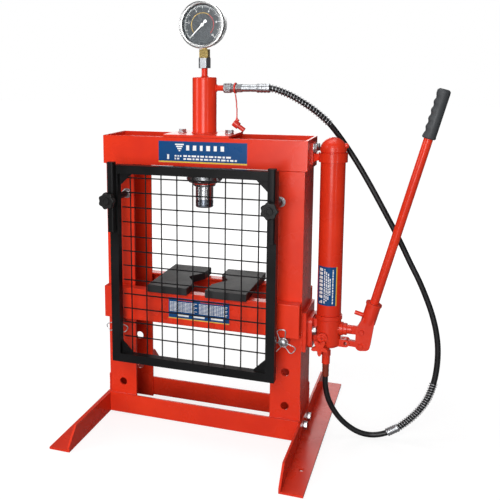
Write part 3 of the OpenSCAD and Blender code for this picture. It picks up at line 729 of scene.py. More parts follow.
def copies_tree():
    """Copies of one part at the points that come in, turned by their 'turn' attribute."""
    kit, ins, out = group("copies_on_points", "GeometryNodeTree",
                          [GEOMETRY, ("Part", "NodeSocketObject", None),
                           ("Scale", FLOAT, 1.0), ("Material", MATERIAL, None)],
                          [GEOMETRY[:2]])
    part = kit.add("GeometryNodeObjectInfo", {"Object": ins["Part"]})
    turn = kit.add("GeometryNodeInputNamedAttribute", {"Name": "turn"},
                   data_type="FLOAT_VECTOR")
    placed = kit.add("GeometryNodeInstanceOnPoints", {
        "Points": ins["Geometry"], "Instance": part.outputs["Geometry"],
        "Rotation": turn.outputs[0], "Scale": ins["Scale"]})
    return finish_tree(kit, out, placed, ins["Material"])


def weld_tree():
    """A weld bead: overlapping drops of random size along the edges that come in."""
    kit, ins, out = group("weld_bead", "GeometryNodeTree",
                          [GEOMETRY, ("Bead Radius", FLOAT, 0.003), ("Pitch", FLOAT, 0.002),
                           ("Unevenness", FLOAT, 0.25), ("Seed", INTEGER, 3),
                           ("Material", MATERIAL, None)], [GEOMETRY[:2]])
    seams = kit.add("GeometryNodeMeshToCurve", {"Mesh": ins["Geometry"]})
    steps = kit.add("GeometryNodeResampleCurve", {"Curve": seams, "Length": ins["Pitch"]},
                    mode="LENGTH")
    drop = kit.add("GeometryNodeMeshIcoSphere", {"Radius": ins["Bead Radius"],
                                                 "Subdivisions": 2})
    low = kit.math("SUBTRACT", 1.0, ins["Unevenness"])
    size = kit.add("FunctionNodeRandomValue", data_type="FLOAT")
    kit.feed(size, 2, low)
    kit.feed(size, 3, 1.0)
    kit.feed(size, "Seed", ins["Seed"])
    drops = kit.add("GeometryNodeInstanceOnPoints", {"Points": steps, "Instance": drop,
                                                     "Scale": size.outputs[1]})
    solid = kit.add("GeometryNodeRealizeInstances", {"Geometry": drops})
    shaded = kit.add("GeometryNodeSetShadeSmooth", {"Geometry": solid})
    return finish_tree(kit, out, shaded, ins["Material"])


def knurl_tree():
    """Pointed studs in staggered rows round a barrel that lies along X."""
    kit, ins, out = group("knurl", "GeometryNodeTree",
                          [GEOMETRY, ("Around", INTEGER, 40), ("Rows", INTEGER, 8),
                           ("Radius", FLOAT, 0.012), ("Row Pitch", FLOAT, 0.0018),
                           ("Stud", FLOAT, 0.0011), ("Material", MATERIAL, None)],
                          [GEOMETRY[:2]])
    total = kit.math("MULTIPLY", ins["Around"], ins["Rows"])
    places = kit.add("GeometryNodeMeshLine", {"Count": total})
    index = kit.add("GeometryNodeInputIndex").outputs[0]
    row = kit.math("FLOOR", kit.math("DIVIDE", index, ins["Around"]))
    stagger = kit.math("MULTIPLY", row, 0.5)
    share = kit.math("DIVIDE", kit.math("ADD", index, stagger), ins["Around"])
    turn = kit.math("MULTIPLY", share, 2 * math.pi)
    y = kit.math("MULTIPLY", kit.math("COSINE", turn), ins["Radius"])
    z = kit.math("MULTIPLY", kit.math("SINE", turn), ins["Radius"])
    x = kit.math("MULTIPLY", row, ins["Row Pitch"])
    spot = kit.add("ShaderNodeCombineXYZ", {"X": x, "Y": y, "Z": z})
    spread = kit.add("GeometryNodeSetPosition", {"Geometry": places, "Position": spot})
    stud = kit.add("GeometryNodeMeshCone", {"Vertices": 4, "Radius Top": 0.0,
                                            "Radius Bottom": ins["Stud"],
                                            "Depth": kit.math("MULTIPLY", ins["Stud"], 0.7)})
    face_out = kit.add("ShaderNodeCombineXYZ", {
        "X": kit.math("SUBTRACT", turn, math.pi / 2), "Y": 0.0, "Z": 0.0})
    studs = kit.add("GeometryNodeInstanceOnPoints", {"Points": spread,
                                                     "Instance": stud.outputs[0],
                                                     "Rotation": face_out})
    return finish_tree(kit, out, studs, ins["Material"])


def grow(name, tree, seed, shift=(0, 0, 0), **values):
    """Runs a tree on a seed mesh and keeps the plain mesh that comes out."""
    piece = link(name, seed)
    modifier = piece.modifiers.new("grow", "NODES")
    modifier.node_group = tree
    for item in tree.interface.items_tree:
        key = item.name.replace(" ", "_")
        if item.item_type == "SOCKET" and item.in_out == "INPUT" and key in values:
            modifier[item.identifier] = values[key]
    applied(piece)
    if any(shift):
        piece.data.transform(Matrix.Translation(shift))
    return piece


def seed_path(points):
    """A seed mesh of one or more open paths."""
    mesh = bpy.data.meshes.new("seed")
    paths = points if isinstance(points[0], list) else [points]
    verts, edges = [], []
    for path in paths:
        first = len(verts)
        verts += [tuple(p) for p in path]
        edges += [(first + k, first + k + 1) for k in range(len(path) - 1)]
    mesh.from_pydata(verts, edges, [])
    return mesh


def seed_points(places):
    """A seed mesh of loose points, each (position, turn about X, Y and Z)."""
    mesh = bpy.data.meshes.new("seed")
    mesh.from_pydata([p for p, _ in places], [], [])
    turn = mesh.attributes.new("turn", "FLOAT_VECTOR", "POINT")
    for k, (_, angles) in enumerate(places):
        turn.data[k].vector = angles
    return mesh


COIL = coil_tree()
WIRE_PANEL = wire_panel_tree()
COPIES = copies_tree()
WELD = weld_tree()
KNURL = knurl_tree()


# ---------------------------------------------------------------- cords

# The hose's middle line in millimetres, from the ram's coupler to the pump's outlet
HOSE_ROUTE = [
    (148, 0, 828), (154, 0, 828), (172, 3, 822), (197, 8, 811), (222, 13, 796),
    (246, 20, 779), (265, 26, 763), (282, 33, 746), (299, 40, 724), (318, 45, 697),
    (337, 47, 669), (356, 48, 639), (375, 49, 607), (394, 49, 574), (412, 49, 542),
    (431, 49, 508), (451, 49, 470), (473, 49, 426), (492, 48, 390), (509, 48, 352),
    (524, 47, 313), (535, 46, 273), (541, 45, 231), (541, 43, 189), (536, 40, 150),
    (525, 36, 113), (508, 33, 82), (486, 30, 55), (462, 26, 33), (438, 22, 18),
    (416, 19, 10), (394, 16, 8), (372, 12, 13), (350, 9, 25), (329, 5, 44), (312, 2, 68),
    (300, 0, 95), (294, 0, 121), (293, 0, 141), (293, 0, 148)]
HOSE_ROUTE = [Vector(p) * MM for p in HOSE_ROUTE]
HOSE_LENGTH, HOSE_DIAMETER = 1.233, 0.013
UPPER_GUARD, LOWER_GUARD, FERRULE_END = (0, 7), (24, 28), 29
TETHER_ROUTE = [Vector(p) * MM for p in (
    (66, 0, 814), (67, 0, 807), (68, 0, 800), (69, 0, 793), (69, 0, 786), (70, 0, 779),
    (70, 0, 772), (70, 0, 765), (70, 0, 758))]


def make_hose():
    """The hose with its two spring guards, its ferrule and the sleeve at the pump."""
    line = spline(HOSE_ROUTE, 4)
    hose = swept("hose_cover", line, HOSE_DIAMETER / 2, [HOSE_COVER], sides=20)
    settle(hose, "frame", "hose_rubber", "hose")
    for name, node, (first, last), turns in (
            ("upper_guard_coil", "upper_spring_guard", UPPER_GUARD, 22.0),
            ("lower_guard_coil", "lower_spring_guard", LOWER_GUARD, 23.0)):
        stretch = spline(HOSE_ROUTE[first:last + 1], 4)
        coil = grow(name, COIL, seed_path([tuple(p) for p in stretch]), Turns=turns,
                    Coil_Radius=0.0086, Wire_Radius=0.00075, Steps=int(turns * 14),
                    Material=SPRING_STEEL)
        settle(coil, "frame", "zinc", node)
    a, b = HOSE_ROUTE[LOWER_GUARD[1]], HOSE_ROUTE[FERRULE_END]
    along = (b - a).normalized()
    side = along.orthogonal().normalized()
    basis = (side, along.cross(side), along)
    reach = (b - a).length
    outline = [(0.0068, 0.0), (0.0090, 0.0), (0.0094, 0.0010)]
    for k in range(4):
        at = 0.0045 + k * 0.0058
        outline += [(0.0094, at), (0.0085, at + 0.0012), (0.0085, at + 0.0030),
                    (0.0094, at + 0.0042)]
    outline += [(0.0094, reach - 0.001), (0.0090, reach), (0.0068, reach)]
    ferrule = turned_ring("guard_ferrule", outline, a, basis, [ZINC], 40)
    settle(ferrule, "frame", "zinc", "hose_ferrule")
    low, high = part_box("outlet_sleeve")
    z0, z1 = low[2], high[2]
    x = (low[0] + high[0]) / 2
    sleeve = turned("outlet_bend_sleeve", [
        (0.0, z0), (0.0074, z0), (0.0078, z0 + 0.0006), (0.0080, z0 + 0.004),
        (0.0076, z0 + 0.009), (0.0080, z0 + 0.014), (0.0076, z0 + 0.019),
        (0.0080, z0 + 0.024), (0.0080, z1), (0.0, z1)], (x, 0, 0), "z",
        [SLEEVE_PLASTIC], 40)
    settle(sleeve, "frame", "sleeve_plastic", "outlet_sleeve")


def make_tether():
    """The dust cap that hangs from the coupler on a thin cord."""
    line = spline(TETHER_ROUTE, 3)
    tether = swept("cap_tether_cord", line, 0.0015, [RED_PLASTIC], sides=12)
    settle(tether, "frame", "red_plastic", "cap_tether")
    ring = turned_ring("cap_tether_loop", [
        (0.0108, 0.0645), (0.0113, 0.0641), (0.0125, 0.0641), (0.0130, 0.0645),
        (0.0130, 0.0675), (0.0125, 0.0679), (0.0113, 0.0679), (0.0108, 0.0675)],
        (0, 0, PORT_Z), "x", [RED_PLASTIC], 48)
    settle(ring, "frame", "red_plastic", "cap_tether")
    cap = merged_copy("dust_cap", "dust_cap_moulding", [RED_PLASTIC])
    softened(cap, 0.0007, 2)
    settle(cap, "frame", "red_plastic", "dust_cap")
    tail = turned("dust_cap_tail", [(0.0, 0.750), (0.0036, 0.7505), (0.0034, 0.7525),
                                    (0.0022, 0.7575), (0.0016, 0.759), (0.0, 0.759)],
                  (0.070, 0, 0), "z", [RED_PLASTIC], 24)
    settle(tail, "frame", "red_plastic", "dust_cap")


make_hose()
make_tether()


# ---------------------------------------------------------------- frame

def bolt_part(name, across=19.0, height=6.4, washer=None):
    """A hex head with a chamfered top, standing on z = 0, hidden from the render."""
    apothem = across / 2 * MM
    top = height * MM
    bm = bmesh.new()
    sides = 48
    hexagon = []
    for k in range(sides):
        t = 2 * math.pi * k / sides
        inside = (t + math.pi / 6) % (math.pi / 3) - math.pi / 6
        hexagon.append((t, apothem / math.cos(inside)))
    round_top = 0.95 * apothem
    rings = [[bm.verts.new((r * math.cos(t), r * math.sin(t), 0.0)) for t, r in hexagon],
             [bm.verts.new((r * math.cos(t), r * math.sin(t),
                            top - max(r - round_top, 0.0) * 0.55)) for t, r in hexagon],
             [bm.verts.new((round_top * math.cos(t), round_top * math.sin(t), top))
              for t, _ in hexagon],
             [bm.verts.new((0.35 * apothem * math.cos(t), 0.35 * apothem * math.sin(t),
                            top - 0.0003)) for t, _ in hexagon]]
    for low, high in zip(rings, rings[1:]):
        skin(bm, low, high)
    bm.faces.new(rings[-1])
    bm.faces.new(list(reversed(rings[0])))
    if washer:
        turned("", [(0.0, -0.0017), (washer * MM - 0.0003, -0.0017),
                    (washer * MM, -0.0014), (washer * MM, -0.0003),
                    (washer * MM - 0.0003, 0.0), (0.0, 0.0)], (0, 0, 0), "z", [], 48,
               bm=bm)
    part = joined(name, bm, [], 20.0)
    part.hide_render = True
    return part


def remove(part):
    """Removes a part that was only there to be copied."""
    mesh = part.data
    bpy.data.objects.remove(part)
    bpy.data.meshes.remove(mesh)


# Turns that point a bolt head, made along +Z, in another direction
RIGHT, LEFT, FRONT = (0, math.pi / 2, 0), (0, -math.pi / 2, 0), (math.pi / 2, 0, 0)


def make_bolts():
    """Feet, ram plate and pump brackets: hex heads on washers, and the shanks behind."""
    big = bolt_part("bolt_big", 17.0, 6.6, washer=10.6)
    wide = bolt_part("bolt_wide", 17.5, 7.0, washer=11.0)
    foot_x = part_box("frame_bolts")[0][0] + 0.0064
    places = [((foot_x - WASHER, y, FOOT_BOLT_Z), LEFT) for y in FOOT_BOLT_Y]
    places += [((-foot_x + WASHER, y, FOOT_BOLT_Z), RIGHT) for y in FOOT_BOLT_Y]
    places += [((LOWER_BOLT_SEAT + WASHER, y, LOWER_BOLT_Z), RIGHT) for y in LOWER_BOLT_Y]
    places += [((TOP_BOLT_SEAT + WASHER, y, TOP_BOLT_Z), RIGHT) for y in TOP_BOLT_Y]
    heads = grow("bolt_heads", COPIES, seed_points(places), Part=big, Scale=1.0,
                 Material=ZINC)
    settle(heads, "frame", "zinc", "frame_bolts")
    head_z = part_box("ram_plate")[1][2] + WASHER
    ram = [((x, 0, head_z), (0, 0, turn)) for x, turn in zip(RAM_BOLT_X, (0.3, 0.9))]
    ram_heads = grow("ram_plate_bolt_heads", COPIES, seed_points(ram), Part=wide,
                     Scale=1.0, Material=ZINC)
    settle(ram_heads, "frame", "zinc", "frame_bolts")
    shank = [(0.0, 0.0), (0.0046, 0.0), (0.005, 0.0004), (0.005, 0.0195), (0.0, 0.0195)]
    bm = bmesh.new()

    def add_shank(start, centre, axis, side=1, share=1.0):
        turned("", [(r, side * (start + h * share)) for r, h in shank], centre, axis, [],
               24, bm=bm)

    for side in (-1, 1):
        for y in FOOT_BOLT_Y:
            add_shank(0.2270, (0, y, FOOT_BOLT_Z), "x", side)
    for y in LOWER_BOLT_Y:
        add_shank(0.2446, (0, y, LOWER_BOLT_Z), "x")
    for y in TOP_BOLT_Y:
        add_shank(0.2370, (0, y, TOP_BOLT_Z), "x", share=0.9)
    for x in RAM_BOLT_X:
        add_shank(0.7015, (x, 0, 0), "z")
    shanks = joined("bolt_shanks", bm, [ZINC])
    settle(shanks, "frame", "zinc", "frame_bolts")
    for part in (big, wide):
        remove(part)


def make_welds():
    """Beads where the columns meet the rails, the beam and the pump's plate."""
    seams = []
    for side in (-1, 1):
        for y in (-0.0592, 0.0592):
            for z in (BASE_TOP, BEAM_BOTTOM):
                seams.append([(side * COLUMN_IN, y, z), (side * COLUMN_OUT, y, z)])
        for y in (-0.0590, 0.0590):
            seams.append([(side * 0.2442, y, BASE_TOP), (side * 0.2442, y, 0.1000)])
    for y in (-0.0570, 0.0570):
        seams.append([(0.2445, y, 0.2240), (0.2445, y, 0.3140)])
    seams.append([(-0.0690, -0.0590, 0.6320), (-0.0690, 0.0590, 0.6320)])
    beads = grow("frame_weld_beads", WELD, seed_path(seams), Bead_Radius=0.0026,
                 Pitch=0.0021, Unevenness=0.30, Seed=5, Material=PAINT)
    settle(beads, "frame", "red_paint")
    rings = [circle((RAM_X, 0, 0.7212), 0.0296, "z", 48),
             circle((0.0200, 0, PORT_Z), 0.0070, "x", 24),
             circle((RAM_X, 0, 0.8542), 0.0076, "z", 24)]
    ring_beads = grow("ram_weld_beads", WELD, seed_path(rings), Bead_Radius=0.0021,
                      Pitch=0.0018, Unevenness=0.25, Seed=9, Material=PAINT)
    settle(ring_beads, "frame", "red_paint")
    guard = []
    for side in (-1, 1):
        guard += [[(side * 0.178, -0.1250, 0.222), (side * 0.149, -0.1250, 0.1935)],
                  [(side * 0.178, -0.1250, 0.605), (side * 0.149, -0.1250, 0.6335)]]
    guard_beads = grow("guard_weld_beads", WELD, seed_path(guard), Bead_Radius=0.0013,
                       Pitch=0.0012, Unevenness=0.25, Seed=4, Material=BLACK_COAT)
    settle(guard_beads, "guard", "black_powder")


def make_frame():
    """Feet, columns, rails, beam and brackets, with their bolts and welds."""
    for node in ("left_foot", "right_foot"):
        dress(node, PAINT, 0.0011, 3)
    for node in ("left_column", "right_column"):
        dress(node, PAINT, 0.0016, 3)
    for node in ("front_base_rail", "rear_base_rail"):
        dress(node, PAINT, 0.0009, 2)
    dress("head_beam", PAINT, 0.0013, 3)
    dress("ram_plate", PAINT, 0.0010, 2)
    dress("pump_top_bracket", PAINT, 0.0008, 2)
    dress("pump_lower_bracket", PAINT, 0.0012, 2)
    make_bolts()
    make_welds()


# ---------------------------------------------------------------- ram

def make_ram():
    """Barrel, ring nut, gland, piston, nose, return spring and nipples."""
    low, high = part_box("ram_cylinder")
    x = (low[0] + high[0]) / 2
    top, bottom, r = high[2], low[2], (high[0] - low[0]) / 2
    barrel = turned("ram_barrel", [
        (0.0245, bottom + 0.20), (0.0245, bottom), (r - 0.0006, bottom),
        (r, bottom + 0.0006), (r, top - 0.0028), (r - 0.0008, top - 0.0010),
        (r - 0.0028, top), (0.0, top)], (x, 0, 0), "z", [PAINT], 96)
    settle(barrel, "frame", "red_paint", "ram_cylinder")
    dress("ram_ring_nut", DARK_STEEL, 0.0007, 2)
    low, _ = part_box("ram_gland")
    z = low[2]
    gland = turned_ring("ram_gland_lip", [
        (0.0216, z), (0.0250, z), (0.0266, z + 0.0012), (0.0270, z + 0.0020),
        (0.0270, z + 0.0040), (0.0252, z + 0.0044), (0.0252, z + 0.0060),
        (0.0244, z + 0.0062), (0.0244, z + 0.0240), (0.0216, z + 0.0240)],
        (x, 0, 0), "z", [DARK_STEEL], 72)
    settle(gland, "frame", "dark_steel", "ram_gland")
    low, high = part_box("ram_piston")
    z0, z1 = low[2], high[2]
    piston = turned("ram_piston_rod", [
        (0.0, z0), (0.0209, z0), (0.0215, z0 + 0.0006), (0.0215, z1 - 0.016),
        (0.0243, z1 - 0.0156), (0.0243, z1 - 0.0006), (0.0238, z1), (0.013, z1),
        (0.013, z0 + 0.014), (0.0, z0 + 0.014)], (x, 0, 0), "z", [CHROME], 96)
    settle(piston, "ram", "chrome", "ram_piston")
    low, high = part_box("ram_nose")
    z0, z1 = low[2], high[2]
    nose = turned("ram_nose_cap", [
        (0.0, z0 + 0.0006), (0.0060, z0 + 0.0006), (0.0066, z0), (0.0188, z0),
        (0.0205, z0 + 0.0008), (0.0215, z0 + 0.0026), (0.0215, z0 + 0.0060),
        (0.0208, z0 + 0.0066), (0.0208, z0 + 0.0076), (0.0215, z0 + 0.0082),
        (0.0215, z1 - 0.0022), (0.0203, z1 - 0.0012), (0.0203, z1), (0.0, z1)],
        (x, 0, 0), "z", [NOSE_STEEL], 96)
    settle(nose, "ram", "dark_steel", "ram_nose")
    dress("ram_return_spring", SPRING_STEEL)
    dress("ram_nipples", PAINT, 0.0005, 2)


# ---------------------------------------------------------------- gauge

GAUGE_AT = (RAM_X, 0.975)
DIAL_START, DIAL_SWEEP = 225.0, 270.0


def on_dial(share, radius, y):
    """A point on the dial: share 0 is the zero mark, 1 is full scale."""
    t = math.radians(DIAL_START - share * DIAL_SWEEP)
    return (GAUGE_AT[0] + radius * math.cos(t), y, GAUGE_AT[1] + radius * math.sin(t))


def dial_band(name, start, end, inner, outer, y, material):
    """An arc of print on the dial between two shares of the scale."""
    bm = bmesh.new()
    steps = max(4, int(90 * (end - start)))
    shares = [start + (end - start) * k / steps for k in range(steps + 1)]
    loops = []
    for share in shares:
        loops.append([bm.verts.new(on_dial(share, r, d))
                      for r, d in ((inner, y), (outer, y), (outer, y - 0.00012),
                                   (inner, y - 0.00012))])
    for a, b in zip(loops, loops[1:]):
        for k in range(4):
            n = (k + 1) % 4
            bm.faces.new((a[k], a[n], b[n], b[k]))
    bm.faces.new(loops[0])
    bm.faces.new(list(reversed(loops[-1])))
    return joined(name, bm, [material])


def numeral(text, share, radius, size, y):
    """The mesh of one raised number, in its place on the dial."""
    data = bpy.data.curves.new("numeral", "FONT")
    data.body = text
    data.size = size
    data.align_x = "CENTER"
    data.align_y = "CENTER"
    data.extrude = 0.00006
    made = bpy.data.objects.new("numeral", data)
    bpy.context.scene.collection.objects.link(made)
    graph = bpy.context.evaluated_depsgraph_get()
    mesh = bpy.data.meshes.new_from_object(made.evaluated_get(graph))
    bpy.data.objects.remove(made)
    mesh.transform(Matrix.Rotation(math.pi / 2, 4, "X"))
    mesh.transform(Matrix.Translation(on_dial(share, radius, y)))
    return mesh


def make_dial():
    """Dial plate, colour bands, rim line, tick marks and plain numbers."""
    low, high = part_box("gauge_dial")
    y = low[1]
    x, z = GAUGE_AT
    plate = turned("gauge_dial_plate", [
        (0.0, y), (0.0484, y), (0.0486, y + 0.0002), (0.0486, high[1]), (0.0, high[1])],
        (x, 0, z), "y", [DIAL_BLACK], 96)
    settle(plate, "frame", "dial_face", "gauge_dial")
    bands = (("dial_band_yellow", 0.0, 0.62, PRINT_YELLOW),
             ("dial_band_red", 0.62, 1.0, PRINT_RED))
    for name, start, end, material in bands:
        band = dial_band(name, start, end, 0.0268, 0.0275, y - 0.00002, material)
        settle(band, "frame", "dial_face")
    rim = dial_band("dial_rim_line", -0.004, 1.004, 0.0432, 0.0436, y - 0.00002,
                    PRINT_WHITE)
    settle(rim, "frame", "dial_face")
    tick = bmesh.new()
    slab(tick, (-0.5, -0.00006, -0.5), (0.5, 0.00006, 0.5))
    for kind, step, length, width in (("long", 10, 0.0062, 0.00075),
                                      ("short", 50, 0.0034, 0.00038)):
        part_bm = tick.copy()
        bmesh.ops.scale(part_bm, vec=(length, 1.0, width), verts=part_bm.verts)
        part = joined("tick_" + kind, part_bm, [])
        places = []
        for k in range(step + 1):
            if kind == "short" and k % 5 == 0:
                continue
            share = k / step
            angle = math.radians(DIAL_START - share * DIAL_SWEEP)
            places.append((on_dial(share, 0.0434 - length / 2, y - 0.00006),
                           (0.0, -angle, 0.0)))
        ticks = grow("dial_ticks_" + kind, COPIES, seed_points(places), Part=part,
                     Scale=1.0, Material=PRINT_WHITE)
        settle(ticks, "frame", "dial_face")
        remove(part)
    tick.free()
    bm = bmesh.new()
    for k in range(6):
        mesh = numeral(str(2 * k), k / 5, 0.0338, 0.0062, y - 0.00006)
        bm.from_mesh(mesh)
        bpy.data.meshes.remove(mesh)
    bmesh.ops.remove_doubles(bm, verts=bm.verts, dist=0.00001)
    numbers = joined("dial_numerals", bm, [PRINT_WHITE])
    settle(numbers, "frame", "dial_face")


def make_gauge():
    """Bezel, case, glass, Bourdon tube, dial, pointer and the stem below them."""
    x, z = GAUGE_AT
    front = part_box("gauge_bezel")[0][1]
    bezel = turned_ring("gauge_bezel_ring", [
        (0.0475, front + 0.0022), (0.0475, front + 0.0012), (0.0482, front + 0.0004),
        (0.0492, front), (0.0524, front), (0.0538, front + 0.0006),
        (0.0547, front + 0.0018), (0.0550, front + 0.0034), (0.0550, front + 0.0124),
        (0.0547, front + 0.0130), (0.0518, front + 0.0130), (0.0518, front + 0.0022)],
        (x, 0, z), "y", [STAINLESS], 128)
    settle(bezel, "frame", "gauge_steel", "gauge_bezel")
    low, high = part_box("gauge_case")
    back = high[1]
    case = turned("gauge_case_shell", [
        (0.0, back - 0.003), (0.0470, back - 0.003), (0.0490, back - 0.005),
        (0.0490, low[1]), (0.0515, low[1]), (0.0515, back - 0.0050),
        (0.0508, back - 0.0022), (0.0492, back - 0.0006), (0.0470, back), (0.0, back)],
        (x, 0, z), "y", [STAINLESS], 128)
    settle(case, "frame", "gauge_steel", "gauge_case")
    dress("gauge_glass", GLASS)
    dress("gauge_bourdon_tube", BRASS)
    make_dial()
    low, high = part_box("gauge_pointer")
    y = low[1] + 0.0012
    zero = math.radians(DIAL_START)
    along = Vector((math.cos(zero), 0, math.sin(zero)))
    across = Vector((-along.z, 0, along.x))
    hub = Vector((x, y, z))
    needle = [(0.0405, 0.0), (0.0395, 0.0004), (0.0150, 0.0011), (0.0035, 0.0016),
              (-0.0060, 0.0013), (-0.0085, 0.0030), (-0.0125, 0.0034), (-0.0140, 0.0026),
              (-0.0140, -0.0026), (-0.0125, -0.0034), (-0.0085, -0.0030),
              (-0.0060, -0.0013), (0.0035, -0.0016), (0.0150, -0.0011), (0.0395, -0.0004)]
    bm = bmesh.new()
    outline_plate(bm, needle, 0.0006,
                  lambda u, v, d: hub + along * u + across * v + Vector((0, d, 0)))
    turned("", [(0.0, -0.0010), (0.0026, -0.0010), (0.0038, -0.0002), (0.0040, 0.0004),
                (0.0040, 0.0012), (0.0014, 0.0016), (0.0012, 0.0110), (0.0, 0.0110)],
           hub, "y", [], 40, bm=bm)
    pointer = joined("gauge_pointer_needle", bm, [PRINT_WHITE])
    settle(pointer, "pointer", "pointer_white", "gauge_pointer")
    dress("gauge_stem", BRASS, 0.0006, 2)
    dress("gauge_nut", ZINC, 0.0009, 3)


# ---------------------------------------------------------------- coupler at the ram

def make_coupler():
    """Knurled collar, and the coupler body with its hexes and crimped ferrule."""
    collar_low, collar_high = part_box("coupler_collar")
    z = (collar_low[2] + collar_high[2]) / 2
    x0, x1 = collar_low[0], collar_high[0]
    r = 0.0120
    collar = turned_ring("coupler_collar_barrel", [
        (0.0083, x0), (r - 0.0016, x0), (r - 0.0006, x0 + 0.0012), (r - 0.0006, x0 + 0.003),
        (r - 0.0012, x0 + 0.0034), (r - 0.0012, x1 - 0.0034), (r - 0.0006, x1 - 0.003),
        (r - 0.0006, x1 - 0.0012), (r - 0.0016, x1), (0.0083, x1)], (0, 0, z), "x",
        [ZINC], 72)
    settle(collar, "collar", "zinc", "coupler_collar")
    grip = grow("coupler_collar_knurl", KNURL, seed_points([((0, 0, 0), (0, 0, 0))]),
                shift=(x0 + 0.0042, 0, z), Around=44, Rows=7, Radius=r - 0.0011,
                Row_Pitch=0.00175, Stud=0.00105, Material=ZINC)
    settle(grip, "collar", "zinc", "coupler_collar")
    body_low, body_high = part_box("coupler_body")
    outline = [(0.0, body_low[0]), (0.0077, body_low[0]), (0.0080, body_low[0] + 0.0004),
               (0.0080, 0.0575), (0.0092, 0.0616), (0.0092, 0.0704), (0.0092, 0.0716),
               (0.0085, 0.0824), (0.0085, 0.1010), (0.0078, 0.1016), (0.0078, 0.1034),
               (0.0085, 0.1040), (0.0085, 0.1176), (0.0100, 0.1180), (0.0105, 0.1188)]
    for start in (0.1225, 0.1305, 0.1385):
        outline += [(0.0105, start), (0.0098, start + 0.0010), (0.0098, start + 0.0037),
                    (0.0105, start + 0.0047)]
    outline += [(0.0105, 0.1472), (0.0101, body_high[0]), (0.0, body_high[0])]
    body = turned("coupler_body_turned", outline, (0, 0, z), "x", [ZINC], 56)
    settle(body, "frame", "zinc", "coupler_body")
    for name, place, length in (("coupler_front_hex", 0.0578, 0.0046),
                                ("coupler_rear_hex", 0.0702, 0.0118)):
        hexagon = turned(name, [(0.0, 0.0), (0.0112, 0.0), (0.0112, length),
                                (0.0, length)], (place, 0, z), "x", [ZINC], 6)
        softened(hexagon, 0.0007, 2)
        settle(hexagon, "frame", "zinc", "coupler_body")
    dress("outlet_fitting", PAINT, 0.0007, 2)


# ---------------------------------------------------------------- pump

def star(outline_at, count, depth, place, name, material, width):
    """A thick plate whose outline radius follows outline_at(angle)."""
    bm = bmesh.new()
    outline = []
    for k in range(count):
        t = 2 * math.pi * k / count
        r = outline_at(t)
        outline.append((r * math.cos(t), r * math.sin(t)))
    outline_plate(bm, outline, depth, place)
    piece = joined(name, bm, [material])
    softened(piece, width, 3, angle=50.0)
    return piece


def make_pump():
    """Reservoir, cap, cast block, gland, link, plunger and release wheel."""
    low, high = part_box("reservoir_tube")
    x = (low[0] + high[0]) / 2
    r, z0, z1 = (high[0] - low[0]) / 2, low[2], high[2]
    tube = turned("reservoir_barrel", [
        (0.0, z0), (r - 0.0008, z0), (r, z0 + 0.0010), (r, z1), (r - 0.0025, z1),
        (r - 0.0025, z0 + 0.006), (0.0, z0 + 0.006)], (x, 0, 0), "z", [PAINT], 96)
    settle(tube, "frame", "red_paint", "reservoir_tube")
    low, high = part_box("pump_cap")
    z0, top, r = low[2], high[2], 0.030
    middle = top - r
    dome = [(0.0, z0), (r - 0.0012, z0), (r - 0.0012, z0 + 0.0008), (r, z0 + 0.0016),
            (r, middle)]
    for k in range(1, 24):
        t = math.pi / 2 * k / 24
        ripple = r + 0.00016 * math.sin(k * 2.1)
        dome.append((ripple * math.cos(t), middle + ripple * math.sin(t)))
    dome.append((0.0, top))
    cap = turned("reservoir_cap", dome, (x, 0, 0), "z", [CAST_PAINT], 96)
    settle(cap, "frame", "red_paint", "pump_cap")
    plug = turned("reservoir_filler_plug", [
        (0.0, 0.0), (0.0062, 0.0), (0.0062, 0.0046), (0.0056, 0.0052), (0.0043, 0.0054),
        (0.0043, 0.0066), (0.0036, 0.0074), (0.0, 0.0074)], (x + 0.0264, 0, 0.700), "x",
        [PAINT], 32)
    settle(plug, "frame", "red_paint", "pump_cap")
    dress("pump_block", CAST_PAINT, 0.0022, 3)
    dress("pump_gland", PAINT, 0.0010, 2)
    dress("relief_plug", PAINT, 0.0005, 2)
    dress("pump_link", CAST_PAINT, 0.0012, 3)
    dress("plunger", PAINT, 0.0006, 2)
    low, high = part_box("release_knob")
    front = low[1]

    def lobes(t):
        return 0.0148 - 0.0050 * math.cos(5 * (t - math.pi / 2))

    def place(u, v, d):
        return Vector((RELEASE_X + u, front + d, RELEASE_Z + v))

    wheel = star(lobes, 120, 0.0090, place, "release_wheel", CAST_PAINT, 0.0016)
    settle(wheel, "release", "red_paint", "release_knob")
    stem = turned("release_stem", [
        (0.0, front - 0.0006), (0.0044, front - 0.0006), (0.0050, front),
        (0.0070, front + 0.0040), (0.0070, front + 0.0150), (0.0040, front + 0.0156),
        (0.0040, high[1]), (0.0, high[1])], (RELEASE_X, 0, RELEASE_Z), "y", [CAST_PAINT],
        40)
    settle(stem, "release", "red_paint", "release_knob")


# ---------------------------------------------------------------- handle

HANDLE_FOOT = Vector((0.372, 0.0, 0.236))    # pivot on the link
PLUNGER_PIN = Vector((0.374, 0.0, 0.270))    # pin in the plunger's eye
LEAN = math.radians(14.7)
UP_HANDLE = Vector((math.sin(LEAN), 0, math.cos(LEAN)))
OFF_HANDLE = Vector((math.cos(LEAN), 0, -math.sin(LEAN)))
HANDLE_AXES = (OFF_HANDLE, Vector((0, 1, 0)), UP_HANDLE)


